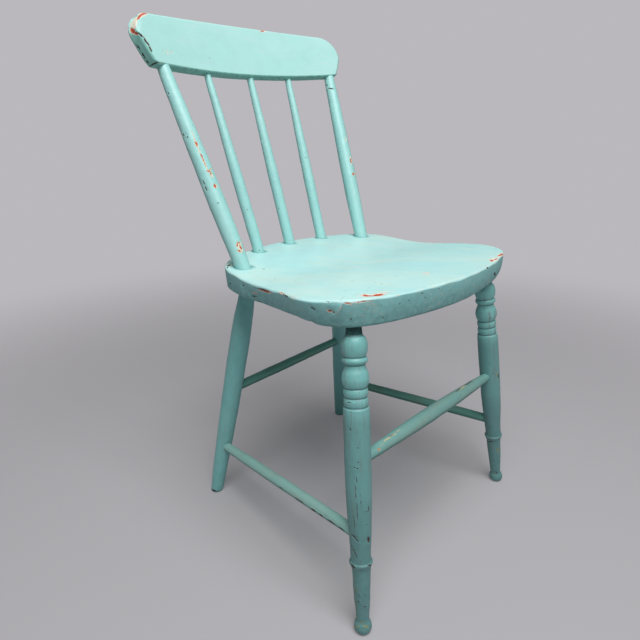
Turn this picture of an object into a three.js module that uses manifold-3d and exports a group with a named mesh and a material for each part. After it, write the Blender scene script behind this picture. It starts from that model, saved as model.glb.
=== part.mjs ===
// Plank-seat kitchen chair with a spindle back: a shaped plank, turned front legs, plain rear legs,
// four stretchers, two back posts, three spindles and a curved crest rail.
// Millimetres, +Z up, the sitter faces -Y, the chair's right side in a front view is +X.
import * as THREE from 'three';
import { mergeVertices } from 'three/addons/utils/BufferGeometryUtils.js';
import Module from 'manifold-3d';

const wasm = await Module();
wasm.setup();

// Fits
const FIT_GAP = 0.3;                     // clearance all round a tenon in its socket
const SEAT_TENON = 22;                   // how far legs, posts and spindles go into the plank
const LEG_TENON_TAPER = 0.5;             // a leg's tenon is this much thinner, in radius, at its end
const CREST_TENON = 24;                  // how far posts and spindles go into the crest rail
const STRETCHER_STOP = 4;                // a stretcher ends this far short of the leg's axis

// Plank seat
const SEAT_HEIGHT = 443;                 // top of the plank at its front and back
const SEAT_THICKNESS = 37;
const SEAT_WIDTH = 436;                  // across the front corners
const SEAT_DEPTH = 370;
const SEAT_DIP = 7.5;                    // hollow that runs across the plank
const SEAT_DIP_PLACE = 18;               // its middle, behind the plank's centre
const SEAT_DIP_SPREAD = 68;              // its half length, front to back
const SEAT_SAG = 3.5;                    // the rear left corner has warped down this much
const SEAT_SAG_PLACE = [-0.81, 0.808];   // that corner, in the outline's shares
const SEAT_SAG_SPREAD = 80;              // the warp fades over this distance
const SEAT_TOP_ROUND = 4;                // rounding of the upper edge
// The underside is this much smaller than the top
const FRONT_UNDERCUT = 5;
const BACK_UNDERCUT = 3;
const SIDE_UNDERCUTS = [38, 2];          // from the front to SIDE_UNDERCUT_END, and behind it
const SIDE_UNDERCUT_END = 0.65;          // share of the depth
const UNDERCUT_CURVES = [1.35, 3.2];     // left, then right: 1 is a straight slant, more is upright above
const UNDERCUT_BLEND = SEAT_WIDTH / 5;   // one goes over into the other this near to the middle
// Outline of the hand-shaped plank, anticlockwise from the middle of its front:
// share of half the width, then share of the depth from the front.
const SEAT_OUTLINE = [
  [0, 0], [0.42, 0.026], [0.7, 0.068], [0.91, 0.124], [1.01, 0.232], [0.975, 0.345],
  [0.915, 0.52], [0.872, 0.67], [0.806, 0.805], [0.655, 0.902], [0.4, 0.964], [0, 1],
  [-0.4, 0.964], [-0.655, 0.902], [-0.81, 0.808], [-0.876, 0.67],
  [-0.91, 0.52], [-0.97, 0.345], [-0.995, 0.235], [-0.88, 0.134], [-0.7, 0.07], [-0.42, 0.026],
];
const SEAT_SIDES = 60;                   // flats round the outline

// Sockets in the plank, in the outline's own shares. The back's sockets are as far from true as the legs.
const FRONT_LEG_SOCKET = [0.739, 0.15];
const REAR_LEG_SOCKET = [0.502, 0.89];
const LEFT_POST_SOCKET = [-0.72, 0.759];
const RIGHT_POST_SOCKET = [0.645, 0.82];
const LEFT_SPINDLE_SOCKET = [-0.37, 0.915];
const MIDDLE_SPINDLE_SOCKET = [0, 0.95];
const RIGHT_SPINDLE_SOCKET = [0.345, 0.937];

// Legs: how far the foot stands out for each millimetre of drop
const FRONT_SPLAY_OUT = 0.121;
const FRONT_SPLAY_FORE = 0.135;
const REAR_SPLAY_OUT = 0.18;
const REAR_SPLAY_AFT = 0.137;
const RACK = 12;                         // age has pushed the right feet back and the left ones forward

// Turned front leg: radii, with places measured down from the plank or up from the floor
const LEG_TENON_RADIUS = 9;
const NECK_RADIUS = 10;
const LEG_RADIUS = 17;                   // thickest part of the long shaft
const UPPER_TURNING = [
  [8, NECK_RADIUS], [13, 10.8], [17, 13.8], [22, 16], [28, 16.6], [34, 15.8], [39, 14.4],
  [40.8, 13.6], [42.6, 15.3], [45.4, 16.1], [48.2, 15.3], [50.2, 13.2], [54, 13.4],
  [62, 16.3], [69, 17.3], [75, 16.3], [78.6, 14.6], [80.2, 13.7], [82.4, 14.9], [85.8, 15.5],
  [89.2, 14.9], [91.8, 13.8], [94.4, 15], [97.8, 15.5], [101, 15], [103.6, 14.1], [106, 16.4],
];
const LOWER_TURNING = [
  [106, 13.3], [103.2, 13.4], [102, 15.2], [100.6, 15.3], [98.2, 14.5], [94.6, 13], [91.6, 12.3],
  [66, 11.3], [44, 10.1], [20, 8.7], [17, 9], [13, 11], [8, 11.8], [4, 10.6], [1.5, 8.8],
];
const FOOT_RADIUS = 6.5;
// Long shaft: share of the way from the low ring to the upper turning, then radius
const SHAFT_SHAPE = [[0.15, 14.4], [0.32, 16], [0.55, LEG_RADIUS], [0.75, LEG_RADIUS], [0.9, LEG_RADIUS]];

// Plain rear leg
const REAR_LEG_RADIUS = 16.9;            // thickest part
const REAR_SWELL_HEIGHT = 290;
const REAR_FOOT_RADIUS = 10.8;
const REAR_NECK_RADIUS = 9.2;
const REAR_NECK_CURVE = 2.2;             // how late the upper half narrows: 1 is a straight taper

// Stretchers: height of each end above the floor, left then right or front then rear
const FRONT_STRETCHER_ENDS = [232, 223];
const REAR_STRETCHER_ENDS = [205, 212];
const LEFT_STRETCHER_ENDS = [134, 94];
const RIGHT_STRETCHER_ENDS = [131, 103];
const FRONT_STRETCHER_RADII = [6.8, 11]; // at the ends, then in the middle
const THIN_STRETCHER_RADII = [7.6, 8.4];

// Crest rail: a board bent to an arc, leaning back, wider at its top
const CREST_HEIGHT = 81;                 // up the slope, in the middle
const CREST_DROP = 14;                   // its top edge falls this much towards the corners
const CREST_THICKNESS = 19;
const CREST_BOTTOM_WIDTH = 383;
// Each end stands out this much further at the top, and its upper corner is rounded, seen from the front
const LEFT_END = { side: -1, flare: 20, corner: 25 };
const RIGHT_END = { side: 1, flare: 15, corner: 34 };
const CREST_BEND_RADIUS = 770;
const CREST_LEAN = THREE.MathUtils.degToRad(16.7);
const CREST_TILT = THREE.MathUtils.degToRad(1.8);      // the right end sits higher
const CREST_TURN = THREE.MathUtils.degToRad(1.2);      // and further back
const CREST_ASIDE = -2;                  // the middle stands this far to the right of the plank's
const CREST_RISE = 279;                  // from the plank's top to the underside in the middle
const CREST_UNDERSIDE = SEAT_HEIGHT + CREST_RISE;
const CREST_BEHIND_SEAT = 64;            // its front face stands this far behind the plank's back edge
const CREST_EDGE_ROUND = 4;
const CREST_END_CURVE = 1.2;             // hollow of the slanted ends: 1 is straight
const CREST_END_LAND = 2;                // height of the board at the very tip of its ends
// Posts at the crest, in from the ends of its underside, and spindles, from its middle
const LEFT_POST_INSET = 19;
const RIGHT_POST_INSET = 11.5;
const LEFT_SPINDLE_PLACE = -87.5;
const MIDDLE_SPINDLE_PLACE = 2.5;
const RIGHT_SPINDLE_PLACE = 86.5;

// Back posts and spindles: share of the visible length, then radius
const POST_SHAPE = [
  [0, 11.4], [0.12, 12.4], [0.3, 13.2], [0.46, 12.8], [0.64, 11.9], [0.84, 10.6], [1, 9.2],
];
const POST_TENON_RADII = [9.6, 5.2];     // in the plank, then in the crest rail
const SPINDLE_SHAPE = [
  [0, 9], [0.15, 9.3], [0.35, 9.3], [0.55, 8.4], [0.8, 6.8], [1, 5.4],
];
const SPINDLE_TENON_RADII = [7, 4];

// Flats round a turned piece
const LEG_SIDES = 20;
const STICK_SIDES = 16;
const FLOOR_SPARE = 10;                  // a leg starts this far below the floor and is cut level there

const UP = new THREE.Vector3(0, 1, 0);
const SEAT_UNDERSIDE = SEAT_HEIGHT - SEAT_THICKNESS;

// Point in plan from the outline's shares, on the left (-1) or right (+1) side.
function planPoint([across, along], side = 1) {
  return new THREE.Vector2(side * across * SEAT_WIDTH / 2, (along - 0.5) * SEAT_DEPTH);
}

// Height of the plank's top at a place in plan: flat, with a hollow across it and one sagging corner.
function seatTop({ x, y }) {
  const dip = SEAT_DIP * Math.exp(-(((y - SEAT_DIP_PLACE) / SEAT_DIP_SPREAD) ** 2));
  const away = planPoint(SEAT_SAG_PLACE).sub({ x, y }).length();
  return SEAT_HEIGHT - dip - SEAT_SAG * Math.exp(-((away / SEAT_SAG_SPREAD) ** 2));
}

// Closed solid from rings of equal length, with a fan over the first and the last ring.
function loft(rings) {
  const count = rings[0].length;
  const middle = (ring) => ring.reduce((sum, p) => sum.add(p), new THREE.Vector3()).divideScalar(count);
  const points = [...rings.flat(), middle(rings[0]), middle(rings.at(-1))];
  const first = rings.length * count;
  const index = [];
  for (let i = 0; i < count; i += 1) {
    const next = (i + 1) % count;
    for (let ring = 0; ring + 1 < rings.length; ring += 1) {
      const low = ring * count;
      const high = low + count;
      index.push(low + i, low + next, high + next, low + i, high + next, high + i);
    }
    const last = first - count;
    index.push(first, next, i, first + 1, last + i, last + next);
  }
  const geometry = new THREE.BufferGeometry();
  geometry.setAttribute('position', new THREE.Float32BufferAttribute(points.flatMap((p) => p.toArray()), 3));
  geometry.setIndex(index);
  return geometry;
}

// Solid for joining and cutting.
function toSolid(geometry) {
  const bare = geometry.clone();
  bare.deleteAttribute('normal');
  bare.deleteAttribute('uv');
  const merged = mergeVertices(bare, 1e-5);
  return new wasm.Manifold(new wasm.Mesh({
    numProp: 3,
    vertProperties: new Float32Array(merged.attributes.position.array),
    triVerts: new Uint32Array(merged.index.array),
  }));
}

function toGeometry(solid) {
  const mesh = solid.getMesh();
  const geometry = new THREE.BufferGeometry();
  geometry.setAttribute('position', new THREE.BufferAttribute(mesh.vertProperties, 3));
  geometry.setIndex(new THREE.BufferAttribute(mesh.triVerts, 1));
  geometry.computeVertexNormals();
  return geometry;
}

// Turned piece on the line from start to end: profile holds [distance from the start, radius].
// With grow above zero it is the socket that the piece fits in.
function turned({ start, end, profile, sides }, grow = 0) {
  const length = start.distanceTo(end);
  const points = profile.map(([place, radius]) => (
    new THREE.Vector2(radius + grow, place + grow * Math.sign(place - length / 2))
  ));
  points.unshift(new THREE.Vector2(0, points[0].y));
  points.push(new THREE.Vector2(0, points.at(-1).y));
  const geometry = new THREE.LatheGeometry(points, sides);
  const along = end.clone().sub(start).divideScalar(length);
  geometry.applyQuaternion(new THREE.Quaternion().setFromUnitVectors(UP, along));
  geometry.translate(start.x, start.y, start.z);
  return toSolid(geometry);
}

// Leg: axis from the floor up through its socket in the plank.
function legAxis(socket, splayOut, splayAft, side) {
  const top = planPoint(socket, side);
  const foot = new THREE.Vector3(
    top.x + side * splayOut * SEAT_UNDERSIDE,
    top.y + splayAft * SEAT_UNDERSIDE + side * RACK,
    0,
  );
  const seat = new THREE.Vector3(top.x, top.y, SEAT_UNDERSIDE);
  const along = seat.clone().sub(foot).normalize();
  const at = (height) => foot.clone().addScaledVector(along, height / along.z);
  return { foot, along, at, visible: foot.distanceTo(seat) };
}

function frontLegProfile(visible) {
  const start = FLOOR_SPARE;
  const shaftTop = visible - UPPER_TURNING.at(-1)[0];
  const shaftLow = LOWER_TURNING[0][0];
  return [
    [0, FOOT_RADIUS],
    [start, FOOT_RADIUS],
    ...LOWER_TURNING.toReversed().map(([up, radius]) => [start + up, radius]),
    ...SHAFT_SHAPE.map(([share, radius]) => [start + shaftLow + share * (shaftTop - shaftLow), radius]),
    ...UPPER_TURNING.toReversed().map(([down, radius]) => [start + visible - down, radius]),
    [start + visible, LEG_TENON_RADIUS + LEG_TENON_TAPER],
    [start + visible + SEAT_TENON, LEG_TENON_RADIUS],
  ];
}

function rearLegProfile(visible) {
  const start = FLOOR_SPARE;
  const low = [0, 0.25, 0.5, 0.75].map((share) => [
    start + share * REAR_SWELL_HEIGHT,
    REAR_LEG_RADIUS - (REAR_LEG_RADIUS - REAR_FOOT_RADIUS) * (1 - share) ** 2,
  ]);
  const high = [0, 0.2, 0.4, 0.6, 0.8, 1].map((share) => [
    start + REAR_SWELL_HEIGHT + share * (visible - REAR_SWELL_HEIGHT),
    REAR_LEG_RADIUS - (REAR_LEG_RADIUS - REAR_NECK_RADIUS) * share ** REAR_NECK_CURVE,
  ]);
  const tenon = [start + visible + SEAT_TENON, REAR_NECK_RADIUS - LEG_TENON_TAPER];
  return [[0, REAR_FOOT_RADIUS], ...low, ...high, tenon];
}

function leg(axis, profile) {
  const start = axis.foot.clone().addScaledVector(axis.along, -FLOOR_SPARE);
  const end = start.clone().addScaledVector(axis.along, profile.at(-1)[0]);
  return { start, end, profile, sides: LEG_SIDES };
}

// Stretcher between two legs, swelling from its ends to its middle.
function stretcher(fromLeg, fromHeight, toLeg, toHeight, [endRadius, middleRadius]) {
  const a = fromLeg.at(fromHeight);
  const b = toLeg.at(toHeight);
  const along = b.clone().sub(a).normalize();
  const start = a.addScaledVector(along, STRETCHER_STOP);
  const end = b.addScaledVector(along, -STRETCHER_STOP);
  const length = start.distanceTo(end);
  const profile = [0, 0.07, 0.16, 0.28, 0.4, 0.6, 0.72, 0.84, 0.93, 1].map((share) => [
    share * length,
    endRadius + (middleRadius - endRadius) * Math.sin(Math.PI * share),
  ]);
  return { start, end, profile, sides: STICK_SIDES };
}

// Point of the crest rail: across the chair, up its slope, and from its front face into the board.
function crestPoint(across, up, into) {
  const bend = Math.asin(across / CREST_BEND_RADIUS);
  const reach = CREST_BEND_RADIUS + into;
  const point = new THREE.Vector3(reach * Math.sin(bend), reach * Math.cos(bend) - CREST_BEND_RADIUS, up);
  point.applyAxisAngle(new THREE.Vector3(1, 0, 0), -CREST_LEAN);
  point.applyAxisAngle(new THREE.Vector3(0, 1, 0), -CREST_TILT);
  point.applyAxisAngle(new THREE.Vector3(0, 0, 1), CREST_TURN);
  return point.add(new THREE.Vector3(CREST_ASIDE, SEAT_DEPTH / 2 + CREST_BEHIND_SEAT, CREST_UNDERSIDE));
}

// Post or spindle from its socket in the plank to its socket in the crest rail.
function upright(socket, across, shape, [seatRadius, crestRadius]) {
  const plan = planPoint(socket);
  const low = new THREE.Vector3(plan.x, plan.y, seatTop(plan));
  const high = crestPoint(across, 0, CREST_THICKNESS / 2);
  const visible = low.distanceTo(high);
  const along = high.clone().sub(low).normalize();
  const start = low.clone().addScaledVector(along, -SEAT_TENON);
  const end = high.clone().addScaledVector(along, CREST_TENON);
  const profile = [
    [0, seatRadius],
    ...shape.map(([share, radius]) => [SEAT_TENON + share * visible, radius]),
    [SEAT_TENON + visible, crestRadius],
    [SEAT_TENON + visible + CREST_TENON, crestRadius],
  ];
  return { start, end, profile, sides: STICK_SIDES };
}

// Plank: rings of the outline from the underside's middle, round the edge, to the middle of the top.
function seatSolid() {
  const corners = SEAT_OUTLINE.map((shares) => planPoint(shares)).map((p) => new THREE.Vector3(p.x, p.y, 0));
  const curve = new THREE.CatmullRomCurve3(corners, true, 'centripetal');
  const outline = curve.getSpacedPoints(SEAT_SIDES).slice(0, -1);
  const undercuts = outline.map((p, i) => {
    const along = outline[(i + 1) % SEAT_SIDES].clone().sub(outline.at(i - 1)).normalize();
    const back = Math.min(1, (p.y / SEAT_DEPTH + 0.5) / SIDE_UNDERCUT_END);
    const side = THREE.MathUtils.lerp(...SIDE_UNDERCUTS, back);
    const end = along.x > 0 ? FRONT_UNDERCUT : BACK_UNDERCUT;
    return side * along.y ** 4 + end * along.x ** 2;
  });
  const curves = outline.map((p) => {
    const rightness = THREE.MathUtils.smoothstep(p.x, -UNDERCUT_BLEND, UNDERCUT_BLEND);
    return THREE.MathUtils.lerp(...UNDERCUT_CURVES, rightness);
  });
  const ring = (inset, height) => outline.map((p, i) => {
    const reach = p.length();
    const q = p.clone().multiplyScalar((reach - inset(i)) / reach);
    return q.setZ(height(q));
  });
  const shrunk = (share, height) => outline.map((p) => {
    const q = p.clone().multiplyScalar(share);
    return q.setZ(height(q));
  });
  const undercut = (share) => (i) => undercuts[i] * (1 - share) ** curves[i];
  const topRound = () => SEAT_TOP_ROUND;
  const under = () => SEAT_UNDERSIDE;
  const edge = (share) => (p) => SEAT_UNDERSIDE + share * (seatTop(p) - SEAT_UNDERSIDE);
  const round = (p) => seatTop(p) - SEAT_TOP_ROUND;
  return toSolid(loft([
    shrunk(0.5, under),
    ring(undercut(0), under),
    ring(undercut(0.17), edge(0.17)),
    ring(undercut(0.38), edge(0.38)),
    ring(undercut(0.7), edge(0.7)),
    ring(undercut(1), round),
    ring(topRound, seatTop),
    shrunk(0.8, seatTop),
    shrunk(0.55, seatTop),
    shrunk(0.3, seatTop),
  ]));
}

// Half of the crest rail: upright slices of the board from the middle to one end.
function crestHalf({ side, flare, corner }) {
  const halfBottom = CREST_BOTTOM_WIDTH / 2;
  const halfTop = halfBottom + flare;
  const topAt = (reach) => {
    const past = Math.max(0, reach - halfTop + corner);
    const fall = corner - Math.sqrt(corner ** 2 - past ** 2);
    return CREST_HEIGHT - CREST_DROP * (reach / halfTop) ** 2 - fall;
  };
  const endUp = topAt(halfTop);
  const bottomAt = (reach) => {
    const share = Math.max(0, (reach - halfBottom) / flare);
    return share ** CREST_END_CURVE * (endUp - CREST_END_LAND);
  };
  const slice = (reach) => {
    const low = bottomAt(reach);
    const high = topAt(reach);
    const r = Math.min(CREST_EDGE_ROUND, (high - low) / 4);
    const t = CREST_THICKNESS;
    const section = [
      [low, r], [low, t - r], [low + r, t], [high - r, t],
      [high, t - r], [high, r], [high - r, 0], [low + r, 0],
    ];
    return section.map(([up, into]) => crestPoint(side * reach, up, into));
  };
  const plain = [0, 0.2, 0.45, 0.7, 0.9, 1].map((share) => share * halfBottom);
  const flared = [0.4, 0.65, 0.8, 0.92, 0.98].map((share) => halfBottom + share * flare);
  return [...plain, ...flared].map(slice);
}

function crestSolid() {
  const [middle, ...right] = crestHalf(RIGHT_END);
  const left = crestHalf(LEFT_END).slice(1).toReversed();
  return toSolid(loft([...left, middle, ...right]));
}

// Skeleton of the frame
const legAxes = {};
for (const [name, side] of [['left', -1], ['right', 1]]) {
  legAxes[`front_leg_${name}`] = legAxis(FRONT_LEG_SOCKET, FRONT_SPLAY_OUT, -FRONT_SPLAY_FORE, side);
  legAxes[`rear_leg_${name}`] = legAxis(REAR_LEG_SOCKET, REAR_SPLAY_OUT, REAR_SPLAY_AFT, side);
}
const { front_leg_left, front_leg_right, rear_leg_left, rear_leg_right } = legAxes;

const legs = Object.fromEntries(Object.entries(legAxes).map(([name, axis]) => {
  const shape = name.startsWith('front') ? frontLegProfile : rearLegProfile;
  return [name, leg(axis, shape(axis.visible))];
}));

const stretchers = {
  front_stretcher: stretcher(
    front_leg_left, FRONT_STRETCHER_ENDS[0], front_leg_right, FRONT_STRETCHER_ENDS[1], FRONT_STRETCHER_RADII,
  ),
  rear_stretcher: stretcher(
    rear_leg_left, REAR_STRETCHER_ENDS[0], rear_leg_right, REAR_STRETCHER_ENDS[1], THIN_STRETCHER_RADII,
  ),
  side_stretcher_left: stretcher(
    front_leg_left, LEFT_STRETCHER_ENDS[0], rear_leg_left, LEFT_STRETCHER_ENDS[1], THIN_STRETCHER_RADII,
  ),
  side_stretcher_right: stretcher(
    front_leg_right, RIGHT_STRETCHER_ENDS[0], rear_leg_right, RIGHT_STRETCHER_ENDS[1], THIN_STRETCHER_RADII,
  ),
};

const post = (socket, across) => upright(socket, across, POST_SHAPE, POST_TENON_RADII);
const spindle = (socket, across) => upright(socket, across, SPINDLE_SHAPE, SPINDLE_TENON_RADII);
const uprights = {
  back_post_left: post(LEFT_POST_SOCKET, LEFT_POST_INSET - CREST_BOTTOM_WIDTH / 2),
  spindle_left: spindle(LEFT_SPINDLE_SOCKET, LEFT_SPINDLE_PLACE),
  spindle_middle: spindle(MIDDLE_SPINDLE_SOCKET, MIDDLE_SPINDLE_PLACE),
  spindle_right: spindle(RIGHT_SPINDLE_SOCKET, RIGHT_SPINDLE_PLACE),
  back_post_right: post(RIGHT_POST_SOCKET, CREST_BOTTOM_WIDTH / 2 - RIGHT_POST_INSET),
};

// Solids, each host cut to receive the tenons that enter it
function withSockets(host, guests) {
  return guests.reduce((solid, guest) => solid.subtract(turned(guest, FIT_GAP)), host);
}

function levelAtFloor(solid) {
  const reach = 4 * SEAT_WIDTH;
  const below = new THREE.BoxGeometry(reach, reach, reach).translate(0, 0, -reach / 2);
  return solid.subtract(toSolid(below));
}

const solids = {
  crest_rail: withSockets(crestSolid(), Object.values(uprights)),
  seat: withSockets(seatSolid(), [...Object.values(uprights), ...Object.values(legs)]),
};
for (const [name, piece] of Object.entries(legs)) {
  solids[name] = withSockets(levelAtFloor(turned(piece)), Object.values(stretchers));
}
for (const [name, piece] of Object.entries({ ...stretchers, ...uprights })) {
  solids[name] = turned(piece);
}

// Paint, as it looks on the lit back and seat, on the legs and on the duller stretchers
const paints = {
  back: new THREE.MeshStandardMaterial({ color: 0x8fdcd3, roughness: 0.55, metalness: 0 }),
  leg: new THREE.MeshStandardMaterial({ color: 0x6fbdb4, roughness: 0.5, metalness: 0 }),
  stretcher: new THREE.MeshStandardMaterial({ color: 0x6aa99c, roughness: 0.6, metalness: 0 }),
};

function paintFor(name) {
  if (name.includes('leg')) {
    return paints.leg;
  }
  return name.includes('stretcher') ? paints.stretcher : paints.back;
}

const chair = new THREE.Group();
for (const [name, solid] of Object.entries(solids)) {
  const mesh = new THREE.Mesh(toGeometry(solid), paintFor(name));
  mesh.name = name;
  chair.add(mesh);
}

// The origin is on the floor, under the middle of the chair's box.
const box = new THREE.Box3().setFromObject(chair, true);
const centre = box.getCenter(new THREE.Vector3());
chair.position.set(-centre.x, -centre.y, -box.min.z);

export default chair;
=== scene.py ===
"""Plank-seat kitchen chair with a spindle back, in worn turquoise paint over older coats.

Sizes are in millimetres as on the chair's drawing and become metres when a piece is made.
+Z is up, the sitter faces -Y, and the pieces called left are on the -X side.
"""

import bpy
import numpy as np
from mathutils import Matrix


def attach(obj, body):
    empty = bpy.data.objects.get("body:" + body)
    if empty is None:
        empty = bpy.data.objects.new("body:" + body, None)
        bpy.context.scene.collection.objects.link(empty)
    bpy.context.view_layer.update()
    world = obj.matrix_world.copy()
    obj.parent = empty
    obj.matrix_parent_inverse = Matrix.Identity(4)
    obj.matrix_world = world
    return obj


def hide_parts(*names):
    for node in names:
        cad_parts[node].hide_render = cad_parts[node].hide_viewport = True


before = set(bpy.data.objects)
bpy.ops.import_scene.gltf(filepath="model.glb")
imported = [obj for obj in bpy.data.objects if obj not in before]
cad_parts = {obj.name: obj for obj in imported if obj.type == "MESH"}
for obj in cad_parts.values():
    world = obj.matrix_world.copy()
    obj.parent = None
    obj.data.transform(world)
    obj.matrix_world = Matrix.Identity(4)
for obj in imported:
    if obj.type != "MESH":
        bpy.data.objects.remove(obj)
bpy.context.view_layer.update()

MM = 0.001
DRAWING_ORIGIN = np.array([-0.009, 41.345, 0.0])  # this point of the drawing is the frame's origin

# Viewpoint of the photograph
PICTURE = 640  # pixels a side
EYE = np.array([-0.59036, -0.54650, 0.61363])
AIM = np.array([-0.11705, -0.06835, 0.37364])
ROLL = -0.0113  # radians
SENSOR = 36.0
LENS = 28.05

# Plank seat
SEAT_HEIGHT = 443.0
SEAT_THICKNESS = 37.0
SEAT_WIDTH = 436.0
SEAT_DEPTH = 370.0
SEAT_DIP = 7.5  # hollow that runs across the plank
SEAT_DIP_PLACE = 18.0
SEAT_DIP_SPREAD = 68.0
SEAT_SAG = 3.5  # the rear left corner has warped down
SEAT_SAG_PLACE = (-0.81, 0.808)
SEAT_SAG_SPREAD = 80.0
SEAT_TOP_ROUND = 2.8
SLOW_WEAR = 0.6  # wear has rounded the top's edge unevenly, in slow and in quick waves of these heights
QUICK_WEAR = 0.4
SEAT_BOTTOM_ROUND = 4.0
# The underside is smaller than the top by these amounts
FRONT_UNDERCUT = 5.0
BACK_UNDERCUT = 3.0
SIDE_UNDERCUTS = (38.0, 2.0)  # at the front, and behind SIDE_UNDERCUT_END
SIDE_UNDERCUT_END = 0.65  # share of the depth
UNDERCUT_CURVES = (1.35, 3.2)  # left, right: 1 is a straight slant, more upright above
UNDERCUT_BLEND = SEAT_WIDTH / 5  # one goes over into the other this near to the middle
SIDE_SHADE = (0.75, 0.25)  # painted shade on the plank's sides, low and high, and on its underside as low: 1 covers all
SEAT_TOP_DEPTH = 14.0  # all of the top lies within this depth
SOCKET_GRIME_SPREAD = 2.0  # dirt round the sticks
BOTTOM_WEAR = 0.4  # wear of the lower edge, where 1 is that of the upper one
WORN_BELOW = 0.12  # share of the side that is worn below the upper edge
TOP_WEAR = 0.8  # wear of the top beside its edge, and the share of the top over which it ends
WORN_INSIDE = 0.02
SEAT_BRUSHING = np.radians(26)  # brush marks run this far from front to back
SEAT_SEED = 41
SEAT_CHIPS = (8, (2.0, 7.0))  # on the side that isn't seen: how many, and their sizes
SEAT_SIDES = 900
SEAT_CURVE_STEPS = 40  # points drawn on each stretch of the outline
SEAT_HEART = 15.0  # ripples stand out from this height above the underside
NEAR_SIDE = (-60.0, 30.0)  # towards the viewpoint, points stand closer from the first to the second
NEAR_CROWDING = 1.5
# Outline from the middle of the front: share of half the width, share of the depth
SEAT_OUTLINE = np.array([
    [0, 0], [0.42, 0.026], [0.7, 0.068], [0.91, 0.124], [1.01, 0.232], [0.975, 0.345],
    [0.915, 0.52], [0.872, 0.67], [0.806, 0.805], [0.655, 0.902], [0.4, 0.964], [0, 1],
    [-0.4, 0.964], [-0.655, 0.902], [-0.81, 0.808], [-0.876, 0.67],
    [-0.91, 0.52], [-0.97, 0.345], [-0.995, 0.235], [-0.88, 0.134], [-0.7, 0.07], [-0.42, 0.026],
])
FRONT_LEG_SOCKET = (0.739, 0.15)
REAR_LEG_SOCKET = (0.502, 0.89)
LEFT_POST_SOCKET = (-0.72, 0.759)
RIGHT_POST_SOCKET = (0.645, 0.82)
LEFT_SPINDLE_SOCKET = (-0.37, 0.915)
MIDDLE_SPINDLE_SOCKET = (0.0, 0.95)
RIGHT_SPINDLE_SOCKET = (0.345, 0.937)

# Legs: how far a foot stands out for each millimetre of drop
FRONT_SPLAY = (0.121, -0.135)
REAR_SPLAY = (0.18, 0.137)
RACK = 12.0  # the right feet have moved back, the left ones forward
# Turned front leg: distance down from the plank, radius of the core
UPPER_TURNING = np.array([
    [0, 9.5], [8, 10], [13, 10.6], [15.5, 11.4], [40.8, 13.2], [50, 12.8], [54, 13.4],
    [62, 16.3], [69, 17.3], [75, 16.3], [78.6, 14.6], [80.2, 13.4], [91.8, 13.4], [103.6, 13.8],
    [106, 16.4],
])
# Beads on it: distance down to the middle, half height, radius, and fullness (0.5 is half an ellipse, 1 a
# parabola)
UPPER_BEADS = (
    (28.0, 13.0, 16.6, 0.75), (45.4, 4.7, 16.1, 0.9), (85.8, 5.8, 15.5, 0.65), (97.8, 6.0, 15.5, 0.65),
)
# Distance up from the floor, radius of the core
LOWER_TURNING = np.array([
    [0, 5.2], [0.6, 7], [1.5, 8.8], [4, 10.6], [8, 11.8], [13, 11], [17, 9], [20, 8.7], [44, 10.1],
    [66, 11.3], [91.6, 12.3], [94.6, 13], [98.2, 14.5], [100.6, 15.3], [102, 15.2], [103.2, 13.4],
    [106, 13.3],
])
# Share of the way from the low ring to the upper turning, radius
SHAFT_SHAPE = np.array([[0.15, 14.4], [0.32, 16], [0.55, 17], [0.75, 17], [0.9, 17]])
FRONT_TENON_RADIUS = 9.2
PROFILE_STEP = 0.3  # its profile is worked out at this spacing
# Plain rear leg
REAR_LEG_RADIUS = 16.9
REAR_SWELL_HEIGHT = 290.0
REAR_FOOT_RADIUS = 10.8
REAR_FOOT_ROUND = np.array([[0, -1.6], [0.6, -0.7], [2, 0]])  # height, change of radius
REAR_NECK_RADIUS = 9.2
REAR_NECK_CURVE = 2.2
REAR_TENON_RADIUS = 9.0
FOOT_LEVEL = 12.0  # below this a leg bends to end level with the floor
LEG_CHIPS = (5, (1.5, 5.0))  # on the side that isn't seen: how many, and their sizes
LEG_SEED = 11
FRONT_LEG_SIDES = 124
REAR_LEG_SIDES = 84
# Spacing of a leg's rings, and how far the closer ones go on past a turning
TURNING_STEP = 0.6
SHAFT_STEP = 0.8
REAR_LEG_STEP = 1.5
REAR_FOOT_STEPS = (0, 0.3, 0.6, 1.2)
TURNING_MARGIN = 6.0
# Darkening of the legs: painted shade under the plank and down the front legs' shafts, and a darker rim at
# the foot. No darkening, and the darkest, at these distances down from the plank, then how much (1 covers
# all)
NECK_SHADE = (14.5, 12.5, 1.4)
TURNING_SHADE = (98.0, 125.0, 0.16)
REAR_NECK_SHADE = (30.0, 6.0, 0.7)
SHAFT_SHADE = (125.0, 80.0, 0.4)  # its second distance is up from the floor
FOOT_DARKENING = (5.0, 1.0, 0.9)  # both distances are up from the floor

# Stretchers: the legs that they join, heights of the two ends, radii at the ends and in the middle, seed,
# number of hidden chips
STRETCHERS = {
    "front_stretcher": ("front_leg_left", "front_leg_right", (232.0, 223.0), (6.8, 11.0), 21, 4),
    "rear_stretcher": ("rear_leg_left", "rear_leg_right", (205.0, 212.0), (7.6, 8.4), 22, 3),
    "side_stretcher_left": ("front_leg_left", "rear_leg_left", (134.0, 94.0), (7.6, 8.4), 23, 3),
    "side_stretcher_right": ("front_leg_right", "rear_leg_right", (131.0, 103.0), (7.6, 8.4), 24, 3),
}
STRETCHER_STOP = 4.0
STRETCHER_RINGS = 330
STRETCHER_SIDES = 80
STRETCHER_CHIP_SIZES = (1.5, 4.0)
STRETCHER_SHADE = 0.8  # painted shade along their undersides: 1 covers all
UNDERSIDE = (-0.25, 0.8)  # downward part of a normal where that painted shade begins, and where it is full

# Crest rail
CREST_HEIGHT = 81.0
CREST_DROP = 14.0
CREST_THICKNESS = 19.0
CREST_BOTTOM_WIDTH = 383.0
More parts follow.
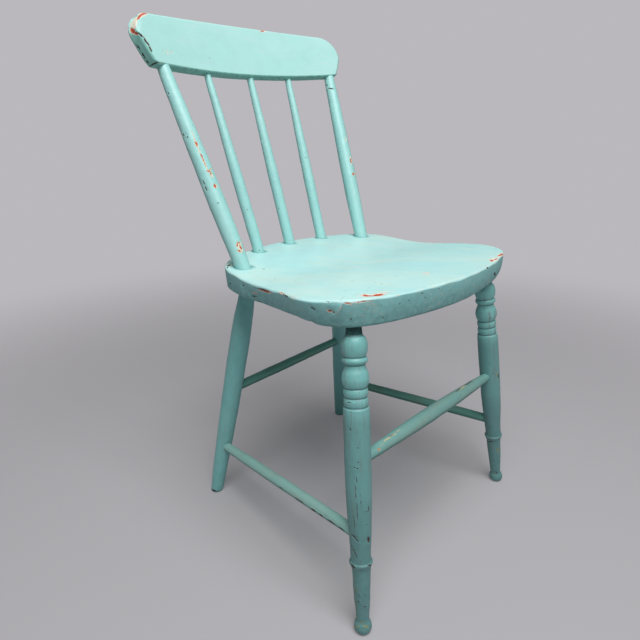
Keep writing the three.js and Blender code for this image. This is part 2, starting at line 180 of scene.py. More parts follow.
# Each end: how much further it stands out at the top, and the rounding of its upper corner
LEFT_END = (20.0, 25.0)
RIGHT_END = (15.0, 34.0)
CREST_BEND_RADIUS = 770.0
CREST_LEAN = np.radians(16.7)
CREST_TILT = np.radians(1.8)
CREST_TURN = np.radians(1.2)
CREST_ASIDE = -2.0
CREST_UNDERSIDE = 722.0
CREST_BEHIND_SEAT = 64.0
CREST_EDGE_ROUND = 3.0
CREST_END_CURVE = 1.2
CREST_END_LAND = 2.0
CREST_SOFTENING = 30  # times that each point of the outline moves to the mean of its neighbours
CREST_CURVE_STEPS = 1400  # points drawn on the outline
CREST_SEED = 42
CREST_CHIPS = (8, (2.0, 8.0))
CREST_SIDES = 1000
CREST_SPINE = 0.46  # share of its height where the rows of a face close on a line
CREST_SPINE_STOP = 26.0  # the line ends this far from the lower corners
CREST_SHADE = 0.75  # painted shade on its underside, less on its ends: 1 covers all
CREST_UNDERSIDE_FACING = (-0.3, 1.0)  # downward part of a normal where that painted shade begins, and where it is full
CREST_EDGE_WEAR = 0.25  # wear between the two arrises, where 1 is that of an arris
CREST_FACE_WEAR = 0.7  # wear of a face beside its edge, and the rows over which it lessens by 1
CREST_FACE_WEAR_ROWS = 3
# Where the sticks enter it, from its middle
LEFT_POST_PLACE = 19.0 - CREST_BOTTOM_WIDTH / 2
RIGHT_POST_PLACE = CREST_BOTTOM_WIDTH / 2 - 11.5
LEFT_SPINDLE_PLACE = -87.5
MIDDLE_SPINDLE_PLACE = 2.5
RIGHT_SPINDLE_PLACE = 86.5
# Posts and spindles: share of the visible length, radius
POST_SHAPE = np.array([
    [0, 11.4], [0.12, 12.4], [0.3, 13.2], [0.46, 12.8], [0.64, 11.9], [0.84, 10.6], [1, 9.2],
])
SPINDLE_SHAPE = np.array([[0, 9], [0.15, 9.3], [0.35, 9.3], [0.55, 8.4], [0.8, 6.8], [1, 5.4]])
HIDDEN_TENON = 8.0  # length of each stick that goes into wood
TENON_EASES = (0.6, 0.4)  # a stick's hidden ends are thinner by this: lower, upper
STICK_STEP = 0.8
SCRIBED_DEPTH = 0.4  # of the ring on a post
SCRIBED_SPREAD = 0.5
SCRIBED_RINGS = np.linspace(-1.2, 1.2, 13)  # rings of the surface beside its middle
SCRIBED_POINTS = np.linspace(-1.0, 1.0, 9)  # points of the profile beside its middle
SCRIBED_STICK_POINTS = 200  # points of the profile along all of that post
POST_CHIPS = (6, (1.5, 6.0))  # on the side that isn't seen: how many, and their sizes
SPINDLE_CHIPS = (2, (1.0, 3.0))
# Sticks of the back: node, socket, place at the crest rail, shape, sides, seed, hidden chips, distance
# of a scribed ring below the crest rail
STICKS = (
    ("back_post_left", LEFT_POST_SOCKET, LEFT_POST_PLACE, POST_SHAPE, 110, 31, POST_CHIPS, None),
    ("back_post_right", RIGHT_POST_SOCKET, RIGHT_POST_PLACE, POST_SHAPE, 110, 32, POST_CHIPS, 26.0),
    ("spindle_left", LEFT_SPINDLE_SOCKET, LEFT_SPINDLE_PLACE, SPINDLE_SHAPE, 52, 33, SPINDLE_CHIPS, None),
    ("spindle_middle", MIDDLE_SPINDLE_SOCKET, MIDDLE_SPINDLE_PLACE, SPINDLE_SHAPE, 52, 34, SPINDLE_CHIPS,
     None),
    ("spindle_right", RIGHT_SPINDLE_SOCKET, RIGHT_SPINDLE_PLACE, SPINDLE_SHAPE, 52, 35, SPINDLE_CHIPS, None),
)

# Marks seen in the photograph, in its pixels: x, y, half length, half width, turn in degrees
# (0 points right, 90 down). Red shows the old red coat, cream the primer, wood the bare brown wood.
MARKS = {
    "crest_rail": {
        "red": [
            (139.6, 16.2, 4.8, 1.6, -45), (144.6, 13.4, 3.6, 1.3, -12), (132, 30.6, 3.4, 2.1, 62),
            (135.8, 33.6, 2.6, 1.3, 15), (262.5, 31, 2.4, 0.7, 8),
        ],
        "cream": [
            (134, 22.4, 7, 3.6, 112), (142.5, 14.6, 7, 2.6, -28),
            (163, 52, 1.8, 0.5, 70), (167.5, 52.6, 2.2, 0.5, 60),
            (171.5, 52.8, 2, 0.5, 50), (165, 49.6, 1.8, 0.4, 20), (173, 51, 1.4, 0.4, -30),
        ],
        "wood": [
            (140.8, 35.2, 5.2, 1, 40), (146.4, 41.8, 5.4, 1, 54), (150.6, 48.8, 4.4, 0.9, 60),
            (138.3, 47.4, 3.8, 0.8, 57), (143.4, 55.4, 3.8, 0.8, 57), (147.6, 62, 2.8, 0.7, 57),
            (153.8, 64.6, 5.2, 1.1, -24),
        ],
    },
    "back_post_left": {
        "red": [
            (196.2, 143.4, 3.8, 1, 65), (202.6, 158.4, 8, 0.5, 67),
            (208.6, 171.4, 2, 0.9, 30), (210.4, 169.6, 1.3, 0.7, -60),
            (211, 174, 2, 0.7, 75), (214.8, 185.6, 2, 1.1, 70), (237.5, 244.8, 2.6, 0.8, 95),
            (239, 242.6, 1.6, 0.7, 10), (240.6, 247.4, 2.4, 0.8, 60), (239.4, 251.2, 2.2, 0.9, 20),
            (241.4, 249.4, 1.6, 0.8, 80),
        ],
        "cream": [
            (192.5, 133.5, 8, 0.7, 68), (202, 157, 10, 0.8, 67), (212.4, 175, 3, 0.8, 70),
            (217, 186, 2.4, 0.6, 70), (239.4, 246.8, 5.2, 2.4, 78),
        ],
        "wood": [
            (168.5, 93.5, 1.6, 0.6, 60), (183.4, 135, 1.1, 0.6, 70), (187.4, 137.4, 1, 0.6, 70),
            (203.3, 182.5, 2.4, 0.6, 65), (205.5, 188.5, 2.6, 0.6, 65), (218, 203, 0.8, 0.7, 0),
        ],
    },
    "back_post_right": {
        "red": [(351, 161, 2.6, 0.8, 78), (353.4, 174, 1.5, 0.9, 78)],
        "cream": [(346, 139.5, 3.5, 0.6, 78), (350, 157, 3.4, 0.6, 78)],
        "wood": [(326.8, 85.2, 1, 0.6, 20), (331, 88.6, 3.2, 0.5, 8)],
    },
    "seat": {
        "red": [
            (264.5, 291, 5.4, 1.1, 14), (282, 293.4, 2.2, 0.8, 20), (330.5, 311.2, 3, 0.9, 18),
            (377.5, 295, 6.8, 1.1, -5), (367, 295.7, 5.2, 0.7, 2), (347.5, 303.2, 2.2, 0.7, 5),
            (350.8, 303.9, 1, 0.7, 0), (363.5, 301.6, 5.5, 0.6, -6), (491.7, 260.6, 1.9, 0.8, 15),
            (495.8, 259, 2, 0.7, -25), (500.6, 254.8, 2.9, 0.9, -20), (426.2, 273.4, 2.1, 0.5, 0),
        ],
        "cream": [
            # The long thin cream mark at (339.8, 308) along the crease of the front left corner is worn paint
            # and a painted highlight on that crease.
            (254.4, 293.4, 3.4, 1.6, 12), (339.8, 308, 7.6, 0.8, -62), (372, 295.4, 9, 1.2, -3),
            (493.6, 259.8, 5, 1.9, -12), (501, 255.4, 3.8, 1.6, -22), (310.4, 307.4, 2, 0.7, 32),
            (462.5, 275.3, 0.9, 0.6, 0), (298, 297.6, 3, 0.5, 20), (385, 291.8, 9, 0.7, -4),
        ],
        "wood": [
            (262, 289.6, 7, 0.6, 13), (254, 296.4, 3.4, 0.6, 12), (285.5, 295.8, 3.2, 0.7, 25),
            (242.6, 285.6, 1.2, 0.8, 90), (230, 283.6, 0.8, 0.7, 0), (259.4, 302, 1.2, 0.9, 0),
            (312.6, 309, 3.4, 0.8, 32), (333.6, 312.6, 1.5, 0.7, 18), (487.5, 268, 1, 0.9, 90),
            (494.8, 274.3, 1.8, 0.9, 80), (422.8, 293.3, 1.6, 0.6, 0), (453, 295, 0.7, 0.6, 0),
            (350.6, 318, 0.9, 0.6, 80), (383, 318, 1.4, 0.6, 82), (381, 305, 0.7, 0.6, 0),
            (397, 312, 0.8, 0.6, 0), (439, 289, 1, 0.5, 0), (328, 301.8, 2.4, 0.5, 0),
            (354, 281, 5, 0.3, 4), (362, 287.5, 5, 0.3, -2), (348.5, 291, 4, 0.3, 6),
            (262, 268.5, 5, 0.3, 15), (229.4, 265.2, 2.6, 0.7, -8), (227.4, 267.4, 1.6, 0.6, -60),
            (400, 304, 1.2, 0.5, 80), (409, 300.5, 0.9, 0.5, 60), (366, 309, 1.4, 0.5, 82),
        ],
    },
    "front_leg_left": {
        "cream": [
            (366, 626.4, 3.4, 1.1, 20), (357.4, 626.6, 3.2, 1, -15), (361, 622, 2.4, 0.8, 0),
            (355.8, 597, 17, 0.5, 88), (363, 630, 2.4, 0.8, 5),
        ],
        "wood": [
            (349, 402.8, 2.6, 0.5, 8), (350.5, 430, 1.6, 0.6, 85), (354.6, 467.8, 2.4, 0.5, 35),
            (356.8, 468.8, 1.4, 0.5, -25), (368.6, 508.5, 3, 0.5, 85), (367, 511.8, 1.8, 0.5, 15),
            (353.4, 536.8, 3.4, 0.8, 50), (356.4, 540.4, 3, 0.8, 45), (369, 540, 3.2, 1.2, 85),
            (352.6, 566, 3.4, 0.9, 48), (369.6, 565.4, 1.5, 1, 0), (359, 595.3, 0.8, 0.7, 0),
            (365.5, 595.3, 0.7, 0.6, 0), (358.3, 601.7, 1.4, 0.6, 85), (365, 607, 1.2, 0.8, 10),
            (355.5, 492, 7, 0.4, 86), (357.2, 512, 9, 0.4, 88), (354, 522, 8, 0.4, 86),
            (361, 503, 7, 0.35, 88), (354.5, 552, 6, 0.5, 66), (356.5, 480, 4, 0.4, 80),
        ],
    },
    "front_leg_right": {
        "cream": [(497, 374, 1.8, 0.8, 85), (498, 450, 3.4, 0.9, 88), (494, 474, 2, 0.6, 0)],
        "wood": [(498.6, 376, 2.2, 0.6, 85), (491, 441.6, 2.6, 0.4, 5), (496.4, 472.6, 1.6, 0.5, 60)],
    },
    "rear_leg_left": {"wood": [(213.6, 490.4, 2.2, 1, 12)]},
    "front_stretcher": {
        "red": [(378.8, 449.5, 1.2, 0.9, 0)],
        "cream": [
            (388, 438.5, 4.4, 0.9, -32), (393, 434.6, 4.2, 0.9, -32), (398, 431, 2.6, 0.8, -30),
            (371.4, 460.3, 1.6, 1.2, 0), (381.5, 445, 2.4, 0.7, -32), (462, 388, 5.5, 0.9, -34),
        ],
        "wood": [(391, 435.4, 2.6, 0.5, -32), (468, 383.4, 4.4, 0.5, -32), (458, 390, 3, 0.5, -32)],
    },
    "side_stretcher_left": {
        "wood": [
            (313.6, 510.4, 3.4, 0.8, 36), (321, 515.4, 2.2, 0.8, 36), (281, 487.8, 2.4, 0.5, 34),
            (300, 500.8, 5, 0.5, 34), (331, 521.8, 5, 0.6, 35), (341, 528.6, 4, 0.7, 35),
        ],
    },
}
# Knocks in the wood itself: x, y, half length, half width in pixels, turn, then depth in millimetres
KNOCKS = {
    "seat": [
        (254, 293.8, 4.4, 1.6, 15, 1.3), (312, 308.6, 4.2, 1.5, 40, 1.4),
        (242.5, 285, 2.4, 1.4, 60, 0.7), (331, 311.4, 4, 2, 25, 0.6),
        (338.6, 309.8, 9, 1.6, -62, -2.2), (264, 290.6, 6, 2, 17, 0.6),
        (333, 302.6, 7, 1.4, 2, 0.7),
    ],
    "crest_rail": [(134, 25, 10, 4, 95, 1.6), (153, 65, 5, 1.8, -27, 1)],
    "front_leg_left": [(355.4, 538, 4, 1.2, 42, 0.7), (368.4, 540.4, 2.8, 1.4, 75, 0.8)],
    "back_post_left": [(186, 136.6, 3, 1.8, 70, 0.6), (204.6, 186, 5, 1.2, 65, 0.6)],
}
KNOCK_REACH = 2  # a knock ends in the sound surface at this many times its size
PAINT_DEPTH = 0.45  # the coats together are this thick
FIELD_LIMIT = 6.0  # a mark's field is kept within this many millimetres
LOSS_EDGE = (-0.2, 0.6)  # the coats thin out between these distances into a mark
LIP_HEIGHT = 0.2  # they stand up by this much round a mark, at this distance from it
LIP_DISTANCE = 0.7
LIP_SPREAD = 0.5
CHIP_NARROWNESS = (0.25, 0.7)  # width of a scattered chip, as a share of its length
SMALLEST_WOOD_CHIP = 0.8

# Unevenness of the wood: height, length of its waves
TURNED_SWELLS = (0.16, 38.0)
TURNED_RIPPLES = (0.07, 11.0)
PLANK_WARP = (0.35, 120.0)
FLAT_BELOW = 1.0  # up to this height the plank's underside has kept flat
PLANK_RIPPLES = (0.14, 26.0)
CREST_RIPPLES = (0.12, 30.0)
# A turning is an arris, or a groove that holds dirt, where its radius bends this much for each millimetre
ARRIS_BEND = 0.25
GROOVE_BEND = 0.8
GROOVE_GRIME = 0.5


def unit(vectors):
    """Vectors at length one."""
    return vectors / np.linalg.norm(vectors, axis=-1, keepdims=True)


def to_frame(points):
    """Points of the drawing, in millimetres, as points of the frame, in metres."""
    return (points - DRAWING_ORIGIN) * MM


# Axes of the photograph's camera: view, right and up, turned by the roll about the view.
view_axis = unit(AIM - EYE)
level_right = unit(np.cross(view_axis, [0, 0, 1]))
level_up = np.cross(level_right, view_axis)
right_axis = np.cos(ROLL) * level_right + np.sin(ROLL) * level_up
up_axis = np.cross(right_axis, view_axis)


def seen_at(points):
    """Pixel across, pixel down and depth of points in metres: the camera's axes, divided by the depth."""
    away = points - EYE
    depth = away @ view_axis
    focal = PICTURE * LENS / SENSOR
    across = PICTURE / 2 + focal * (away @ right_axis) / depth
    down = PICTURE / 2 - focal * (away @ up_axis) / depth
    return across, down, depth


def flowing(places, values, at):
    """Curve through (place, value) that never overshoots: cubic pieces whose slope at a point is the
    harmonic mean of the slopes on its two sides, and level at a peak or a valley."""
    width = np.diff(places)
    slope = np.diff(values) / width
    same_way = slope[1:] * slope[:-1] > 0
    total = np.where(same_way, slope[1:] + slope[:-1], 1.0)
    inner = np.where(same_way, 2 * slope[1:] * slope[:-1] / total, 0.0)
    tangent = np.concatenate([slope[:1], inner, slope[-1:]])
    k = np.clip(np.searchsorted(places, at, side="right") - 1, 0, len(width) - 1)
    t = (at - places[k]) / width[k]
    rise = t * t * (3 - 2 * t)
    leave = t * (1 - t) ** 2 * width[k] * tangent[k]
    arrive = t * t * (t - 1) * width[k] * tangent[k + 1]
    return values[k] + rise * (values[k + 1] - values[k]) + leave + arrive


def even_steps(points, count, crowding=1.0):
    """Closed line through the points, walked in equal steps, or in steps that are shorter where the
    points' crowding is higher."""
    closed = np.vstack([points, points[:1]])
    stride = np.linalg.norm(np.diff(closed, axis=0), axis=1) * crowding
    walked = np.concatenate([[0], np.cumsum(stride)])
    at = np.linspace(0, walked[-1], count, endpoint=False)
    return np.column_stack([np.interp(at, walked, closed[:, i]) for i in range(closed.shape[1])])


def closed_curve(corners, count):
    """Smooth closed line through the corners, each stretch in count points: cubic pieces whose tangents
    weigh the neighbouring chords by the square root of their length."""
    before, after, beyond = (np.roll(corners, shift, axis=0) for shift in (1, -1, -2))
    gap = [np.sqrt(np.linalg.norm(b - a, axis=1, keepdims=True))
           for a, b in ((before, corners), (corners, after), (after, beyond))]
    leave = ((corners - before) / gap[0] - (after - before) / (gap[0] + gap[1]) + (after - corners) / gap[1])
    arrive = ((after - corners) / gap[1] - (beyond - corners) / (gap[1] + gap[2]) + (beyond - after) / gap[2])
    t = np.linspace(0, 1, count, endpoint=False)[None, :, None]
    a, b, da, db = (v[:, None, :] for v in (corners, after, leave * gap[1], arrive * gap[1]))
    line = (2 * t**3 - 3 * t**2 + 1) * a + (t**3 - 2 * t**2 + t) * da
    line = line + (3 * t**2 - 2 * t**3) * b + (t**3 - t**2) * db
    return line.reshape(-1, corners.shape[1])


def lumps(points, seed, height, wavelength, count=14):
    """Gentle unevenness of about that height: the mean of waves of one length that run in random
    directions through space."""
    rng = np.random.default_rng(seed)
    waves = unit(rng.normal(size=(count, 3))) * 2 * np.pi / wavelength
    phase = rng.uniform(0, 2 * np.pi, count)
    return height * np.cos(points @ waves.T + phase).sum(axis=1) / np.sqrt(count)


# Meshes

def ring_faces(rings, sides):
    """Quads between neighbouring rings of a closed tube, then fans from the first and last ring to
    two single points that follow the rings."""
    ring, side = np.meshgrid(np.arange(rings - 1), np.arange(sides), indexing="ij")
    following = (side + 1) % sides
    quads = np.stack([ring * sides + side, ring * sides + following,
                      (ring + 1) * sides + following, (ring + 1) * sides + side], axis=-1).reshape(-1, 4)
    j = np.arange(sides)
    k = (j + 1) % sides
    last = (rings - 1) * sides
    first_pole = np.full(sides, rings * sides)
    fans = np.vstack([np.column_stack([first_pole, k, j]),
                      np.column_stack([first_pole + 1, last + j, last + k])])
    return quads, fans


def point_normals(points, quads, fans):
    """Mean of the faces' normals at each point, weighed by area."""
    total = np.zeros_like(points)
    for faces in (quads, fans):
        corner = points[faces]
        normal = np.cross(corner[:, 2] - corner[:, 0], corner[:, -1] - corner[:, 1])
        for axis in range(3):
            for spot in range(faces.shape[1]):
                total[:, axis] += np.bincount(faces[:, spot], normal[:, axis], minlength=len(points))
    return unit(total)


def mark_field(points, normals, marks):
    """Signed distance, in millimetres, into the nearest of some marks of the photograph: each is an
    ellipse in the picture, carried along the line of sight on to the side of the piece that faces it."""
    field = np.full(len(points), -FIELD_LIMIT)
    if not marks:
        return field
    across, down, depth = seen_at(points)
    facing = np.einsum("ij,ij->i", normals, EYE - points) > 0
    size = depth * SENSOR / LENS / PICTURE / MM
    for x, y, half_length, half_width, turn in marks:
        c, s = np.cos(np.radians(turn)), np.sin(np.radians(turn))
        along = (across - x) * c + (down - y) * s
        aside = (down - y) * c - (across - x) * s
        reach = np.hypot(along / half_length, aside / half_width)
        inside = (1 - reach) * min(half_length, half_width) * size
        field = np.where(facing, np.maximum(field, inside), field)
    return np.clip(field, -FIELD_LIMIT, FIELD_LIMIT)


def scattered_field(points, normals, seed, count, sizes):
    """Signed distance, in millimetres, into ellipses scattered over the side that the photograph
    doesn't show: each lies in the plane that touches the piece at a point drawn at random."""
    rng = np.random.default_rng(seed)
    field = np.full(len(points), -FIELD_LIMIT)
    hidden = np.flatnonzero(np.einsum("ij,ij->i", normals, EYE - points) < 0)
    for centre in rng.choice(hidden, count, replace=False):
        half_length = rng.uniform(*sizes)
        half_width = half_length * rng.uniform(*CHIP_NARROWNESS)
        normal = normals[centre]
        along = unit(np.cross(normal, rng.normal(size=3)))
        offset = (points - points[centre]) / MM
        reach = np.sqrt((offset @ along / half_length) ** 2
                        + (offset @ np.cross(normal, along) / half_width) ** 2
                        + (offset @ normal / half_length) ** 2)
        field = np.maximum(field, (1 - reach) * half_width)
    return field


def smooth_step(value, low, high):
    """0 below low, 1 above high, and an even S between them."""
    t = np.clip((value - low) / (high - low), 0, 1)
    return t * t * (3 - 2 * t)


def make_piece(node, material, drawing, faces, grain, edge, dirt_and_shade, seed, scatter):
    """Finishes a surface of the drawing as an object that stands for a CAD node: works out the marks,
    sinks the surface by the coats' thickness where paint is lost, dents it where it was knocked, and
    stores what the paint needs to know at each point."""
    quads, fans = faces
    points = to_frame(drawing)
    normals = point_normals(points, quads, fans)
    seen = MARKS.get(node, {})
    red, cream, wood = (mark_field(points, normals, seen.get(coat, [])) for coat in ("red", "cream", "wood"))
    count, sizes = scatter
    red = np.maximum(red, scattered_field(points, normals, seed, count, sizes))
    wood_sizes = (SMALLEST_WOOD_CHIP, sizes[1] / 2)
    wood = np.maximum(wood, scattered_field(points, normals, seed + 1, 2 * count, wood_sizes))
    deepest = np.maximum(red, wood)
    lip = np.exp(-(((deepest + LIP_DISTANCE) / LIP_SPREAD) ** 2))
    sink = PAINT_DEPTH * smooth_step(deepest, *LOSS_EDGE) - LIP_HEIGHT * lip
    for x, y, half_length, half_width, turn, depth in KNOCKS.get(node, []):
        long, wide = KNOCK_REACH * half_length, KNOCK_REACH * half_width
        dent = mark_field(points, normals, [(x, y, long, wide, turn)])
        sink = sink + depth * smooth_step(dent, 0.0, wide)
    points = points - normals * (sink * MM)[:, None]

    name = node + "_painted"
    mesh = bpy.data.meshes.new(name)
    corners = np.concatenate([quads.ravel(), fans.ravel()]).astype(np.int32)
    starts = np.concatenate([np.arange(len(quads)) * 4, len(quads) * 4 + np.arange(len(fans)) * 3])
    mesh.vertices.add(len(points))
    mesh.vertices.foreach_set("co", points.astype(np.float32).ravel())
    mesh.loops.add(len(corners))
    mesh.loops.foreach_set("vertex_index", corners)
    mesh.polygons.add(len(starts))
    mesh.polygons.foreach_set("loop_start", starts.astype(np.int32))
    mesh.polygons.foreach_set("use_smooth", np.ones(len(starts), bool))
    mesh.update(calc_edges=True)
    mesh.validate()
    facts = {"red_loss": red, "cream_loss": cream, "wood_loss": wood, "edge": edge, "dirt_and_shade": dirt_and_shade}
    for label, values in facts.items():
        mesh.attributes.new(label, "FLOAT", "POINT").data.foreach_set("value", values.astype(np.float32))
    store = mesh.attributes.new("grain", "FLOAT_VECTOR", "POINT")
    store.data.foreach_set("vector", grain.astype(np.float32).ravel())
    mesh.materials.append(material)
    piece = bpy.data.objects.new(name, mesh)
    bpy.context.scene.collection.objects.link(piece)
    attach(piece, "root")
    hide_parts(node)


# Turned pieces

def make_turned(node, material, start, end, profile, steps, sides, seed, scatter,
                level=0.0, darkened=(), underside=0.0):
    """Surface of revolution: at a distance s along the axis and an angle a round it, the point is
    start + s * axis + radius(s) * (cos a, sin a) across the axis. Rings within the distance called
    level of the start are tilted so that the first one lies flat on the floor. Darkening thickens from the
    first to the second distance of each darkened stretch, up to its amount: painted shade under the plank and
    down a shaft, and a darker rim at a foot. Painted shade also thickens towards the underside."""
    axis = unit(end - start)
    least = np.eye(3)[np.argmin(np.abs(axis))]
    side_x = unit(np.cross(least, axis))
    side_y = np.cross(axis, side_x)
    radius = flowing(profile[:, 0], profile[:, 1], steps)
    angle = np.linspace(0, 2 * np.pi, sides, endpoint=False)
    spoke = np.cos(angle)[:, None] * side_x + np.sin(angle)[:, None] * side_y
    rings = start + steps[:, None, None] * axis + radius[:, None, None] * spoke
    if level:
        share = np.clip(1 - steps / level, 0, 1) ** 2
        tilt = -radius[:, None] * (spoke @ [0, 0, 1]) / axis[2] * share[:, None]
        rings = rings + tilt[:, :, None] * axis
    drawing = np.vstack([rings.reshape(-1, 3), rings[0].mean(axis=0), rings[-1].mean(axis=0)])
    faces = ring_faces(len(steps), sides)
    out = np.vstack([np.tile(spoke, (len(steps), 1)), np.zeros((2, 3))])
    uneven = lumps(drawing, seed, *TURNED_SWELLS) + lumps(drawing, seed + 7, *TURNED_RIPPLES)
    drawing = drawing + out * uneven[:, None]
    bend = np.gradient(np.gradient(radius, steps), steps)
    convex = np.clip(-bend / ARRIS_BEND, 0, 1)
    hollow = GROOVE_GRIME * np.clip(bend / GROOVE_BEND, 0, 1)
    # Dirt in the grooves, then painted shade under the plank and down the shaft, and a darker rim at a foot.
    for clear, darkest, amount in darkened:
        hollow = np.maximum(hollow, amount * smooth_step(steps, clear, darkest))
    local = np.stack([radius[:, None] * np.cos(angle), radius[:, None] * np.sin(angle),
                      np.broadcast_to(steps[:, None], (len(steps), sides))], axis=-1).reshape(-1, 3)
    grain = np.vstack([local, [[0, 0, steps[0]], [0, 0, steps[-1]]]]) * MM + seed
    edge = np.append(np.repeat(convex, sides), [1.0, 0.0])
    dirt_and_shade = np.append(np.repeat(hollow, sides), [1.0, 0.0])
    # Painted shade where the surface faces down.
    dirt_and_shade = np.maximum(dirt_and_shade, underside * smooth_step(-out[:, 2], *UNDERSIDE))
    make_piece(node, material, drawing, faces, grain, edge, dirt_and_shade, seed, scatter)


def in_plan(socket, side=1):
    """Place of a socket in plan from its shares of half the width and of the depth."""
    return np.array([side * socket[0] * SEAT_WIDTH / 2, (socket[1] - 0.5) * SEAT_DEPTH])


def seat_top(plan):
    """Height of the plank's top: level, less a bell-shaped hollow that runs across the chair and a
    round one at the corner that sags."""
    dip = SEAT_DIP * np.exp(-(((plan[..., 1] - SEAT_DIP_PLACE) / SEAT_DIP_SPREAD) ** 2))
    away = np.linalg.norm(plan - in_plan(SEAT_SAG_PLACE), axis=-1)
    return SEAT_HEIGHT - dip - SEAT_SAG * np.exp(-((away / SEAT_SAG_SPREAD) ** 2))


def leg_axis(socket, splay, side):
    """Foot and seat point of a leg, which stands out by its splay for each millimetre of drop."""
    drop = SEAT_HEIGHT - SEAT_THICKNESS
    top = in_plan(socket, side)
    foot = np.array([top[0] + side * splay[0] * drop, top[1] + splay[1] * drop + side * RACK, 0.0])
    return foot, np.array([top[0], top[1], drop])


def at_height(axis, height):
    """Point of a leg's axis at a height above the floor."""
    foot, seat = axis
    return foot + (seat - foot) * height / seat[2]


def front_leg_profile(length):
    """Foot from the floor, upper turning from the plank, and the shaft between them. A bead is a power
    of a parabola that stands on the core, and two beads meet in a sharp groove."""
    low, high = LOWER_TURNING[-1, 0], length - UPPER_TURNING[-1, 0]
    shaft = SHAFT_SHAPE * [high - low, 1] + [low, 0]
    upper = UPPER_TURNING[::-1] * [-1, 1] + [length, 0]
    core = np.vstack([LOWER_TURNING, shaft, upper, [[length + HIDDEN_TENON, FRONT_TENON_RADIUS]]])
    at = np.arange(0, core[-1, 0], PROFILE_STEP)
    base = flowing(core[:, 0], core[:, 1], at)
    radius = base.copy()
    for down, half, top, fullness in UPPER_BEADS:
        swell = np.clip(1 - ((at - length + down) / half) ** 2, 0, None) ** fullness
        radius = np.maximum(radius, base + (top - base) * swell)
    return np.column_stack([at, radius])


def rear_leg_profile(length):
    """Radius that grows from the foot to the swell as a parabola and narrows to the neck as a power."""
    share = np.linspace(0, 1, 9)
    spread = REAR_LEG_RADIUS - REAR_FOOT_RADIUS
    low = np.column_stack([share * REAR_SWELL_HEIGHT, REAR_LEG_RADIUS - spread * (1 - share) ** 2])[1:]
    narrowing = (REAR_LEG_RADIUS - REAR_NECK_RADIUS) * share**REAR_NECK_CURVE
    up = REAR_SWELL_HEIGHT + share * (length - REAR_SWELL_HEIGHT)
    high = np.column_stack([up, REAR_LEG_RADIUS - narrowing])
    foot = REAR_FOOT_ROUND + [0, REAR_FOOT_RADIUS]
    return np.vstack([foot, low, high[1:], [[length + HIDDEN_TENON, REAR_TENON_RADIUS]]])


def below_plank(reach, darkening):
    """Stretch of painted shade whose distances are given down from the plank, as distances up a leg."""
    clear, darkest, amount = darkening
    return reach - clear, reach - darkest, amount


def make_front_leg(node, material, axis, seed):
    """Turned leg, with closer rings along its turnings than along its shaft."""
    foot, seat = axis
    reach = np.linalg.norm(seat - foot)
    low, high = LOWER_TURNING[-1, 0] + TURNING_MARGIN, reach - UPPER_TURNING[-1, 0] - TURNING_MARGIN
    steps = np.concatenate([
        np.arange(0, low, TURNING_STEP), np.arange(low, high, SHAFT_STEP),
        np.arange(high, reach + HIDDEN_TENON, TURNING_STEP),
    ])
    shaft_shade = (reach - SHAFT_SHADE[0], *SHAFT_SHADE[1:])
    darkening = (below_plank(reach, NECK_SHADE), below_plank(reach, TURNING_SHADE), shaft_shade, FOOT_DARKENING)
    make_turned(node, material, foot, seat, front_leg_profile(reach), steps, FRONT_LEG_SIDES,
                seed, LEG_CHIPS, level=FOOT_LEVEL, darkened=darkening)


def make_rear_leg(node, material, axis, seed):
    """Plain leg, with closer rings at its foot."""
    foot, seat = axis
    reach = np.linalg.norm(seat - foot)
    foot_end = REAR_FOOT_ROUND[-1, 0]
    steps = np.concatenate([REAR_FOOT_STEPS, np.arange(foot_end, reach + HIDDEN_TENON, REAR_LEG_STEP)])
    darkening = (below_plank(reach, REAR_NECK_SHADE), FOOT_DARKENING)
    make_turned(node, material, foot, seat, rear_leg_profile(reach), steps, REAR_LEG_SIDES,
                seed, LEG_CHIPS, level=FOOT_LEVEL, darkened=darkening)


def crest_point(across, up, into):
    """Point of the crest rail: bent to an arc across the chair, so that the way into the board is the
    arc's radius, leaned back, tilted to one side, then turned a little about the upright."""
    bend = np.arcsin(across / CREST_BEND_RADIUS)
    aside = (CREST_BEND_RADIUS + into) * np.sin(bend)
    deep = (CREST_BEND_RADIUS + into) * np.cos(bend) - CREST_BEND_RADIUS
    back = deep * np.cos(CREST_LEAN) + up * np.sin(CREST_LEAN)
    rise = up * np.cos(CREST_LEAN) - deep * np.sin(CREST_LEAN)
    x = aside * np.cos(CREST_TILT) - rise * np.sin(CREST_TILT)
    z = aside * np.sin(CREST_TILT) + rise * np.cos(CREST_TILT)
    turned_x = x * np.cos(CREST_TURN) - back * np.sin(CREST_TURN) + CREST_ASIDE
    turned_y = x * np.sin(CREST_TURN) + back * np.cos(CREST_TURN) + SEAT_DEPTH / 2 + CREST_BEHIND_SEAT
    return np.stack([turned_x, turned_y, z + CREST_UNDERSIDE], axis=-1)


